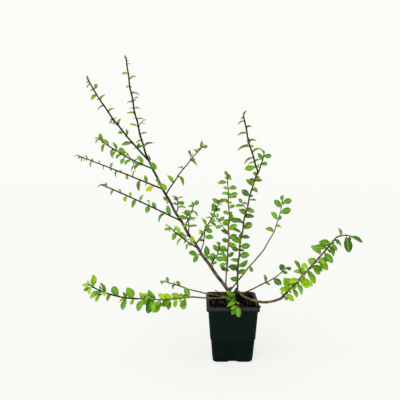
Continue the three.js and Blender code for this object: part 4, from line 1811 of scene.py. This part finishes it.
@dataclass
class Buds:
    """Small pointed buds in the leaf axils and at the tips."""

    growth: Growth
    sides: int = 6
    profile: tuple[Pair, ...] = ((0.0, 0.2), (0.25, 0.36), (0.55, 0.33), (0.82, 0.17), (1.0, 0.02))
    across: Triple = (0.31, 0.57, 0.76)

    def template(self) -> bpy.types.Object:
        """Builds one bud of length 1 along X.

        Returns:
            The bud as an object.
        """
        made = bmesh.new()
        rings = [
            [Vector((x, radius * across, radius * up)) for across, up in around(self.sides)]
            for x, radius in self.profile
        ]
        add_rings(made, rings, 1.0)
        bud = object_from("bud_form", made)
        bud.data.shade_smooth()
        return bud

    def build(self) -> None:
        """Builds and dresses all the buds."""
        template = self.template()
        rows = []
        for place, axis, length in self.growth.buds:
            side = unit(np.cross(axis, self.across))
            rows.append((place, unit(axis), side, (length, length, length), 0))
        values = {"Form": template, "Skin": BudFinish("bud").material()}
        piece = grown_object("buds", turned_points("buds", rows), setting_tree(), values)
        bpy.data.objects.remove(template)
        finish_piece(piece)


# The stems


@dataclass(frozen=True)
class StemKind:
    """How stems of one thickness are made: fullness is how much rounder they are than the solids."""

    name: str
    sides: int
    fullness: float
    relief: float
    ridge: float


LIMB_KIND = StemKind("limbs", 14, 1.12, 0.3, 700.0)
TWIG_KIND = StemKind("twigs", 7, 1.32, 0.16, 1500.0)


@dataclass
class Stems:
    """All stems above the crown, one piece for each bark colour and thickness."""

    growth: Growth
    step: float = 1.6
    least_steps: int = 4
    stout: float = 1.15
    knot_rise: float = 0.28
    knot_length: float = 0.9
    no_knot: float = 9.0
    tuck: float = 1.2

    def kind_of(self, limb: Limb) -> StemKind:
        """Gives the kind of a stem by its thickness."""
        return LIMB_KIND if limb.radii[0] > self.stout else TWIG_KIND

    def centre_line(self, stem: Stem) -> tuple[list[np.ndarray], list[float]]:
        """Gives points and radii along a stem, with a knot at each joint.

        Args:
            stem: The stem.

        Returns:
            Its points and its radius at each.
        """
        limb = stem.limb
        count = max(self.least_steps, math.ceil(limb.span / self.step))
        shares = [i / count for i in range(count + 1)]
        points = [limb.point(t) for t in shares]
        radii = []
        for t in shares:
            near = min((abs(t - joint) * limb.span for joint, _ in stem.joints), default=self.no_knot)
            knot = self.knot_rise * math.exp(-((near / self.knot_length) ** 2))
            radii.append(limb.radius(t) * (1 + knot) * self.kind_of(limb).fullness)
        tucked = points[0] - limb.frame(0).along * min(self.tuck, 0.5 * limb.span)
        return [tucked, *points], [radii[0], *radii]

    def build(self) -> None:
        """Builds and dresses the stems."""
        tree = sweep_tree()
        for bark in Bark:
            for kind in (LIMB_KIND, TWIG_KIND):
                stems = [
                    stem
                    for stem in self.growth.stems
                    if stem.bark is bark and self.kind_of(stem.limb) is kind
                ]
                if stems:
                    self.build_group(tree, bark, kind, stems)

    def build_group(
        self, tree: bpy.types.NodeTree, bark: Bark, kind: StemKind, stems: list[Stem]
    ) -> None:
        """Builds the stems of one bark colour and thickness.

        Args:
            tree: The tree that sweeps them.
            bark: Their bark.
            kind: Their kind.
            stems: The stems.
        """
        points: list[tuple[float, ...]] = []
        edges: list[tuple[int, int]] = []
        girths: list[float] = []
        for stem in stems:
            line, radii = self.centre_line(stem)
            first = len(points)
            points += [tuple(point * MM) for point in line]
            girths += [radius * MM for radius in radii]
            edges += [(i, i + 1) for i in range(first, len(points) - 1)]
        name = f"{kind.name}_{bark.value}"
        source = bpy.data.meshes.new(name)
        source.from_pydata(points, edges, [])
        source.attributes.new("girth", "FLOAT", "POINT").data.foreach_set("value", girths)
        values = {"Sides": kind.sides, "Relief": kind.relief, "Ridge": kind.ridge}
        values["Bark"] = bark_finish(bark).material()
        piece = grown_object(name, source, tree, values)
        finish_piece(piece, [stem.node for stem in stems])


@dataclass
class Crown:
    """The short trunk at the compost: its limbs and the limbs' feet grown into one skin."""

    growth: Growth
    voxel: float = 0.45
    smoothing: int = 4
    reach: float = 13.0
    thinnest: float = 1.0
    step: float = 1.0
    least_steps: int = 3
    sides: int = 20
    ground: float = 92.0
    girth: float = 1.8
    stretch: float = 0.3
    ridge_scale: float = 0.9
    ridge_rise: float = 0.25
    knot_scale: float = 0.22
    knot_rise: float = 0.35

    def build(self) -> None:
        """Builds and dresses the crown."""
        runs = [(limb, 1.0) for limb in crown_limbs()]
        names = {spec.name for spec in LIMBS if spec.on == "crown"}
        for stem in self.growth.stems:
            if stem.node in names and stem.limb.radii[0] > self.thinnest:
                runs.append((stem.limb, min(1.0, self.reach / stem.limb.span)))
        made = bmesh.new()
        for limb, end in runs:
            add_rings(made, self.rings(limb, end))
        rough = object_from("crown_rough", made)
        fuse = rough.modifiers.new("fuse", "REMESH")
        fuse.mode, fuse.voxel_size = "VOXEL", self.voxel * MM
        rough.modifiers.new("soften", "SMOOTH").iterations = self.smoothing
        piece = settled(rough, "crown_bark")
        self.carve(piece.data)
        piece.data.shade_smooth()
        finish_piece(piece, ["crown"], bark_finish(Bark.CROWN))

    def rings(self, limb: Limb, end: float) -> list[list[np.ndarray]]:
        """Gives the rings of a limb's skin from its foot to a share of it.

        Args:
            limb: The limb.
            end: The share.

        Returns:
            The rings.
        """
        count = max(self.least_steps, math.ceil(limb.span * end / self.step))
        rings = []
        for i in range(count + 1):
            t = end * i / count
            place, radius = limb.frame(t), limb.radius(t)
            rings.append([
                place.centre + (place.side * across + place.lift * up) * radius
                for across, up in around(self.sides)
            ])
        return rings

    def carve(self, skin: bpy.types.Mesh) -> None:
        """Gives the skin lengthwise ridges and knots.

        Args:
            skin: The fused skin.
        """
        girths = [self.girth * MM] * len(skin.vertices)
        skin.attributes.new("girth", "FLOAT", "POINT").data.foreach_set("value", girths)
        grain = skin.attributes.new("grain", "FLOAT_VECTOR", "POINT")
        normals = [vertex.normal.copy() for vertex in skin.vertices]
        for vertex, normal in zip(skin.vertices, normals):
            place = vertex.co / MM
            stretched = Vector((place.x, place.y, self.stretch * place.z))
            grain.data[vertex.index].vector = stretched * MM
            ridges = noise.fractal(stretched * self.ridge_scale, *LAYERS)
            knots = noise.noise(place * self.knot_scale)
            vertex.co += normal * (self.ridge_rise * ridges + self.knot_rise * knots) * MM
            vertex.co.z = max(vertex.co.z, self.ground * MM)


# The pot and its filling


@dataclass
class NurseryPot:
    """A square tapering pot with a turned rim, shallow panels, a ledge and four drain holes.

    outside and inside give half the width by height. levels are the heights of the outlines between
    the foot and the rim, each with its share of the panels' depth. foot_turns and the two rim turns
    are the places on the rounded edges, in half turns. corner_ease is what the corner radius is less
    by inside and under the foot.
    """

    height: float = 102.0
    rim_half: float = 45.9
    rim_corner: float = 8.0
    rim_face: float = 7.5
    rim_slope: float = 2.5
    rim_round: float = 0.8
    rim_under_turns: Triple = (0.0, 0.25, 0.5)
    rim_top_turns: tuple[float, ...] = (0.0, 0.2, 0.35, 0.5)
    rim_hollow: float = 0.25
    rim_soft: float = 0.4
    rim_start: float = 0.3
    rim_inner: float = 2.0
    outside: tuple[Pair, ...] = ((0, 34.9), (40, 38), (43, 39.3), (102, 43.4))
    inside: tuple[Pair, ...] = ((0, 33.1), (40, 36.2), (43, 37.5), (102, 40.5))
    levels: tuple[Pair, ...] = (
        (12, 0), (26, 0), (39.2, 0), (40, 0), (43, 0), (43.8, 0),
        (45, 0), (46.5, 1), (64, 1), (82.5, 1), (84, 0), (91.4, 0),
    )
    inner_levels: Triple = (43.0, 40.0, 2.2)
    foot_corner: float = 7.0
    corner_ease: float = 1.0
    foot_round: float = 3.5
    foot_turns: tuple[float, ...] = (0.12, 0.25, 0.38, 0.5)
    foot_inset: float = 8.0
    wall: float = 1.8
    notch_share: float = 0.42
    notch_rise: float = 2.0
    notch_fade: float = 8.0
    panel_share: float = 0.67
    panel_depth: float = 0.6
    drain_radius: float = 4.0
    drain_offset: float = 20.0
    drain_sides: int = 24
    drain_depth: float = 8.0
    drain_middle: float = 1.0
    sharp: float = 38.0
    corner_steps: int = 9
    side_shares: tuple[float, ...] = (
        -0.9, -0.72, -0.66, -0.54, -0.42, -0.33, -0.24, -0.15, -0.07, 0.0,
        0.07, 0.15, 0.24, 0.33, 0.42, 0.54, 0.66, 0.72, 0.9,
    )

    def half_at(self, z: float) -> float:
        """Gives half the body's width outside at a height."""
        return float(np.interp(z, *zip(*self.outside)))

    def inside_at(self, z: float) -> float:
        """Gives half the body's width inside at a height."""
        return float(np.interp(z, *zip(*self.inside)))

    def corner_at(self, z: float) -> float:
        """Gives the body's corner radius at a height."""
        return between((self.foot_corner, self.rim_corner - self.corner_ease), z / self.height)

    def ring(
        self, half: float, corner: float, z: float, sunk: float = 0.0, lift: float = 0.0
    ) -> list[Vector]:
        """Gives one closed outline of the pot.

        Args:
            half: Half its width.
            corner: Its corner radius.
            z: Its height.
            sunk: How deep the panels lie here.
            lift: How far the middle of each side is raised.

        Returns:
            The outline's points.
        """
        points = []
        away = half - corner
        for quarter in range(4):
            turn = Matrix.Rotation(quarter * math.pi / 2, 3, "Z")
            for share in self.side_shares:
                inward = sunk if abs(share) < self.panel_share else 0.0
                raised = lift * max(0.0, 1 - (share / self.notch_share) ** 2)
                points.append(turn @ Vector((half - inward, share * away, z + raised)))
            for step in range(self.corner_steps + 1):
                angle = step / self.corner_steps * math.pi / 2
                place = Vector((away + corner * math.cos(angle), away + corner * math.sin(angle), z))
                points.append(turn @ place)
        return points

    def foot_rings(self) -> list[list[Vector]]:
        """Gives the outlines of the underside and the rounded foot.

        Returns:
            The outlines from the middle out and up.
        """
        foot, corner = self.half_at(0), self.foot_corner
        rings = [
            self.ring(foot - self.foot_inset, corner, 0.0),
            self.ring(foot - self.foot_round, corner - self.corner_ease, 0.0, lift=self.notch_rise),
        ]
        for turn in self.foot_turns:
            half = foot - self.foot_round * (1 - math.sin(turn * math.pi))
            rise = self.foot_round * (1 - math.cos(turn * math.pi))
            rings.append(self.ring(half, corner, rise, lift=self.notch_rise * (1 - rise / self.notch_fade)))
        return rings

    def rim_rings(self) -> list[list[Vector]]:
        """Gives the outlines from under the rim, over it and a little way down inside.

        Returns:
            The outlines in that order.
        """
        wide, soft, round_off = self.rim_corner, self.rim_soft, self.rim_round
        lip = self.height - self.rim_face
        under = lip - self.rim_slope
        rows = [
            (self.half_at(under) + self.rim_start, self.corner_at(under), under),
            (self.rim_half - round_off - soft, wide, lip - soft),
        ]
        for turn in self.rim_under_turns:
            out, rise = math.sin(turn * math.pi), 1 - math.cos(turn * math.pi)
            rows.append((self.rim_half - round_off + round_off * out, wide, lip + round_off * rise))
        rows.append((self.rim_half - self.rim_hollow, wide, self.height - self.rim_face / 2))
        for turn in self.rim_top_turns:
            out, rise = math.cos(turn * math.pi), math.sin(turn * math.pi)
            half = self.rim_half - round_off + round_off * out
            rows.append((half, wide, self.height - round_off + round_off * rise))
        for out, down in ((round_off, 0.0), (0.5 * soft, soft), (0.0, self.rim_inner)):
            rows.append((self.inside_at(self.height) + out, wide - self.wall, self.height - down))
        return [self.ring(*row) for row in rows]

    def outlines(self) -> list[list[Vector]]:
        """Gives the outlines from the underside, up the outside, over the rim and down inside.

        Returns:
            The outlines in that order.
        """
        rings = self.foot_rings()
        for z, share in self.levels:
            rings.append(self.ring(self.half_at(z), self.corner_at(z), z, sunk=share * self.panel_depth))
        rings += self.rim_rings()
        rings += [
            self.ring(self.inside_at(z), self.corner_at(z) - self.corner_ease, z)
            for z in self.inner_levels
        ]
        return rings

    def build(self) -> None:
        """Builds and dresses the pot."""
        made = bmesh.new()
        add_rings(made, self.outlines())
        shell = object_from("pot_shell", made)
        cutter = self.drains()
        cut = shell.modifiers.new("drains", "BOOLEAN")
        cut.operation, cut.object, cut.solver = "DIFFERENCE", cutter, "EXACT"
        piece = settled(shell, "pot_body")
        bpy.data.objects.remove(cutter)
        piece.data.shade_smooth()
        piece.data.set_sharp_from_angle(angle=math.radians(self.sharp))
        finish_piece(piece, ["pot"], PotFinish("pot_plastic"))

    def drains(self) -> bpy.types.Object:
        """Builds the round cutters of the drain holes as one object.

        Returns:
            The object.
        """
        made = bmesh.new()
        radius, depth = self.drain_radius * MM, self.drain_depth * MM
        for x in (-self.drain_offset, self.drain_offset):
            for y in (-self.drain_offset, self.drain_offset):
                bmesh.ops.create_cone(
                    made, cap_ends=True, segments=self.drain_sides, radius1=radius, radius2=radius,
                    depth=depth, matrix=Matrix.Translation(Vector((x, y, self.drain_middle)) * MM),
                )
        return object_from("drain_cutters", made)


@dataclass(frozen=True)
class Strewn:
    """Bits strewn on the bed: how many in a square metre, their radii, seed and finish."""

    name: str
    density: float
    radii: Pair
    seed: int
    finish: CompostFinish


@dataclass
class CompostFill:
    """The compost: an uneven bed with crumbs, pale flecks and a few bits on the rim."""

    pot: NurseryPot
    top: float = 93.0
    depth: float = 8.0
    room: float = 0.25
    dip: float = 0.6
    lump: float = 0.78
    lump_scale: float = 0.16
    lump_slice: float = 3.0
    edge_drop: float = 1.2
    rings: int = 26
    level: float = 0.6
    strewn: tuple[Strewn, ...] = (
        Strewn("compost_crumbs", 260000.0, (0.5, 1.5), 3, CompostFinish("compost_crumb")),
        Strewn(
            "compost_chips", 40000.0, (0.8, 1.9), 11,
            CompostFinish("compost_chip", srgb(38, 30, 21), srgb(12, 10, 7)),
        ),
        Strewn(
            "compost_flecks", 20000.0, (0.5, 1.5), 23,
            CompostFinish("compost_fleck", srgb(150, 142, 126), srgb(82, 76, 64)),
        ),
    )
    rim_bits: tuple[Triple, ...] = (
        (43.4, -38.5, 2.6), (45.0, -36.5, 2.2), (44.6, -40.6, 2.0), (46.3, -38.6, 1.7),
        (42.4, -41.2, 1.7), (43.0, -35.0, 1.4),
    )
    rim_form_seed: int = 5
    rim_seed: int = 70
    rim_seat: float = 0.3
    rim_long: float = 1.4
    rim_tilt: float = 0.3
    rim_across: Triple = (0.3, 0.2, 0.9)
    crumb_least: float = 0.75
    crumb_loose: float = 0.45
    crumb_sides: Triple = (1.0, 0.75, 0.6)

    def build(self) -> None:
        """Builds and dresses the bed and what is strewn on it."""
        bed = self.bed()
        tree = scatter_tree()
        for kind in self.strewn:
            values = {
                "Density": kind.density, "Smallest": kind.radii[0] * MM, "Largest": kind.radii[1] * MM,
                "Seed": kind.seed,
            }
            self.spread(kind.name, bed.data.copy(), tree, kind.seed, kind.finish, values)
        drop_working(bed.data)
        finish_piece(bed, ["compost"], CompostFinish("compost_bed"))
        bits = turned_points("rim_bits", [self.bit(i, *bit) for i, bit in enumerate(self.rim_bits)])
        finish = self.strewn[0].finish
        self.spread("compost_rim_bits", bits, setting_tree(), self.rim_form_seed, finish, {})

    def spread(
        self, name: str, source: bpy.types.Mesh, tree: bpy.types.NodeTree, seed: int,
        finish: CompostFinish, values: dict[str, float],
    ) -> None:
        """Builds one piece of crumbs.

        Args:
            name: Its name.
            source: Mesh that the tree starts from.
            tree: The tree that sets the crumbs.
            seed: Decides the crumbs' shape.
            finish: Their finish.
            values: The tree's other inputs.
        """
        form = self.crumb(seed)
        piece = grown_object(name, source, tree, {**values, "Form": form, "Skin": finish.material()})
        bpy.data.objects.remove(form)
        finish_piece(piece)

    def height(self, place: Vector, share: float) -> float:
        """Gives the bed's height at a place.

        Args:
            place: The place.
            share: 0 in the middle and 1 at the pot's wall.

        Returns:
            The height.
        """
        lumps = noise.fractal(Vector((place.x, place.y, self.lump_slice)) * self.lump_scale, *LAYERS)
        return self.top - self.dip + self.lump * lumps - self.edge_drop * share**4

    def bed(self) -> bpy.types.Object:
        """Builds the bed as a closed block with a lumpy top.

        Returns:
            The bed, with its upper faces marked.
        """
        low = self.top - self.depth
        rings = [self.pot.ring(self.pot.inside_at(low) - self.room, self.pot.corner_at(low), low)]
        edge, corner = self.pot.inside_at(self.top) - self.room, self.pot.corner_at(self.top)
        for i in range(self.rings):
            share = 1 - i / self.rings
            ring = self.pot.ring(edge * share, corner * share, 0)
            for point in ring:
                point.z = self.height(point, share)
            rings.append(ring)
        made = bmesh.new()
        add_rings(made, rings)
        bed = object_from("compost_bed", made)
        bed.data.shade_smooth()
        mark = bed.data.attributes.new("strewn", "BOOLEAN", "FACE")
        for face in bed.data.polygons:
            mark.data[face.index].value = face.normal.z > self.level
        return bed

    def crumb(self, seed: int) -> bpy.types.Object:
        """Builds one rough crumb of radius 1.

        Args:
            seed: Decides its shape.

        Returns:
            The crumb as an object.
        """
        made = bmesh.new()
        bmesh.ops.create_icosphere(made, subdivisions=1, radius=1.0)
        random = Chance(seed)
        for vertex in made.verts:
            vertex.co *= self.crumb_least + self.crumb_loose * random.draw()
        crumb = object_from("crumb_form", made)
        crumb.data.transform(Matrix.Diagonal((*self.crumb_sides, 1.0)))
        return crumb

    def bit(
        self, i: int, x: float, y: float, size: float
    ) -> tuple[np.ndarray, np.ndarray, np.ndarray, Triple, int]:
        """Lays one crumb on the rim's near corner.

        Args:
            i: Its number.
            x, y: Its place.
            size: Its radius.

        Returns:
            Its place, axis, face, size and form.
        """
        random = Chance(self.rim_seed + i)
        axis = unit(np.array([random.either(), random.either(), self.rim_tilt * random.either()]))
        face = unit(np.cross(axis, self.rim_across))
        place = np.array([x, y, self.pot.height + self.rim_seat * size])
        return place, axis, face, (self.rim_long * size, size, size), 0


# The studio


@dataclass
class Studio:
    """A plain pale floor, soft light and the camera."""

    camera_place: Triple = (-57.0, -861.7, 398.2)
    pitch: float = 7.7
    lens: float = 45.0
    sensor: float = 36.0
    floor_half: float = 9000.0
    floor_sides: int = 64
    sky: Colour = (0.985, 0.99, 0.955)
    sky_strength: float = 0.985
    sun_power: float = 1.6
    sun_angle: float = 50.0
    sun_heading: Triple = (0.35, 0.6, -1.0)

    def build(self) -> None:
        """Builds the floor, the lights and the camera."""
        made = bmesh.new()
        radius = self.floor_half * MM
        bmesh.ops.create_circle(made, cap_ends=True, segments=self.floor_sides, radius=radius)
        floor = object_from("studio_floor", made)
        floor.data.materials.append(StudioFinish("studio_floor").material())
        self.lights()
        self.camera()
        bpy.context.scene.view_settings.view_transform = "Standard"

    def lights(self) -> None:
        """Sets an even pale sky and one broad soft sun from above the viewer's left shoulder."""
        world = bpy.data.worlds.new("studio_sky")
        world.use_nodes = True
        sky = world.node_tree.nodes["Background"]
        Graph(world.node_tree).plug(sky, {"Color": self.sky, "Strength": self.sky_strength})
        bpy.context.scene.world = world
        light = bpy.data.lights.new("soft_sun", "SUN")
        light.energy, light.angle = self.sun_power, math.radians(self.sun_angle)
        lamp = object_of("soft_sun", light)
        lamp.rotation_euler = Vector(self.sun_heading).to_track_quat("-Z", "Y").to_euler()

    def camera(self) -> None:
        """Sets the camera where the broad view is seen from."""
        view = bpy.data.cameras.new("broad_view")
        view.lens, view.sensor_width = self.lens, self.sensor
        camera = object_of("broad_view", view)
        camera.location = Vector(self.camera_place) * MM
        camera.rotation_euler = (math.radians(90 - self.pitch), 0.0, 0.0)
        bpy.context.scene.camera = camera


def write_sizes() -> None:
    """Brings the scene's placements up to date."""
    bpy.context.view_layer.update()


def main() -> None:
    """Builds the studio, the pot and the plant in order."""
    logging.basicConfig(level=logging.INFO, format="%(name)s %(message)s")
    Studio().build()
    pot = NurseryPot()
    pot.build()
    CompostFill(pot).build()
    growth = Growth()
    growth.grow()
    counts = len(growth.stems), len(growth.leaves), len(growth.buds)
    LOG.info("grown: %d stems, %d leaves, %d buds", *counts)
    Crown(growth).build()
    Stems(growth).build()
    Foliage(growth).build()
    Buds(growth).build()
    write_sizes()


if __name__ == "__main__":
    main()
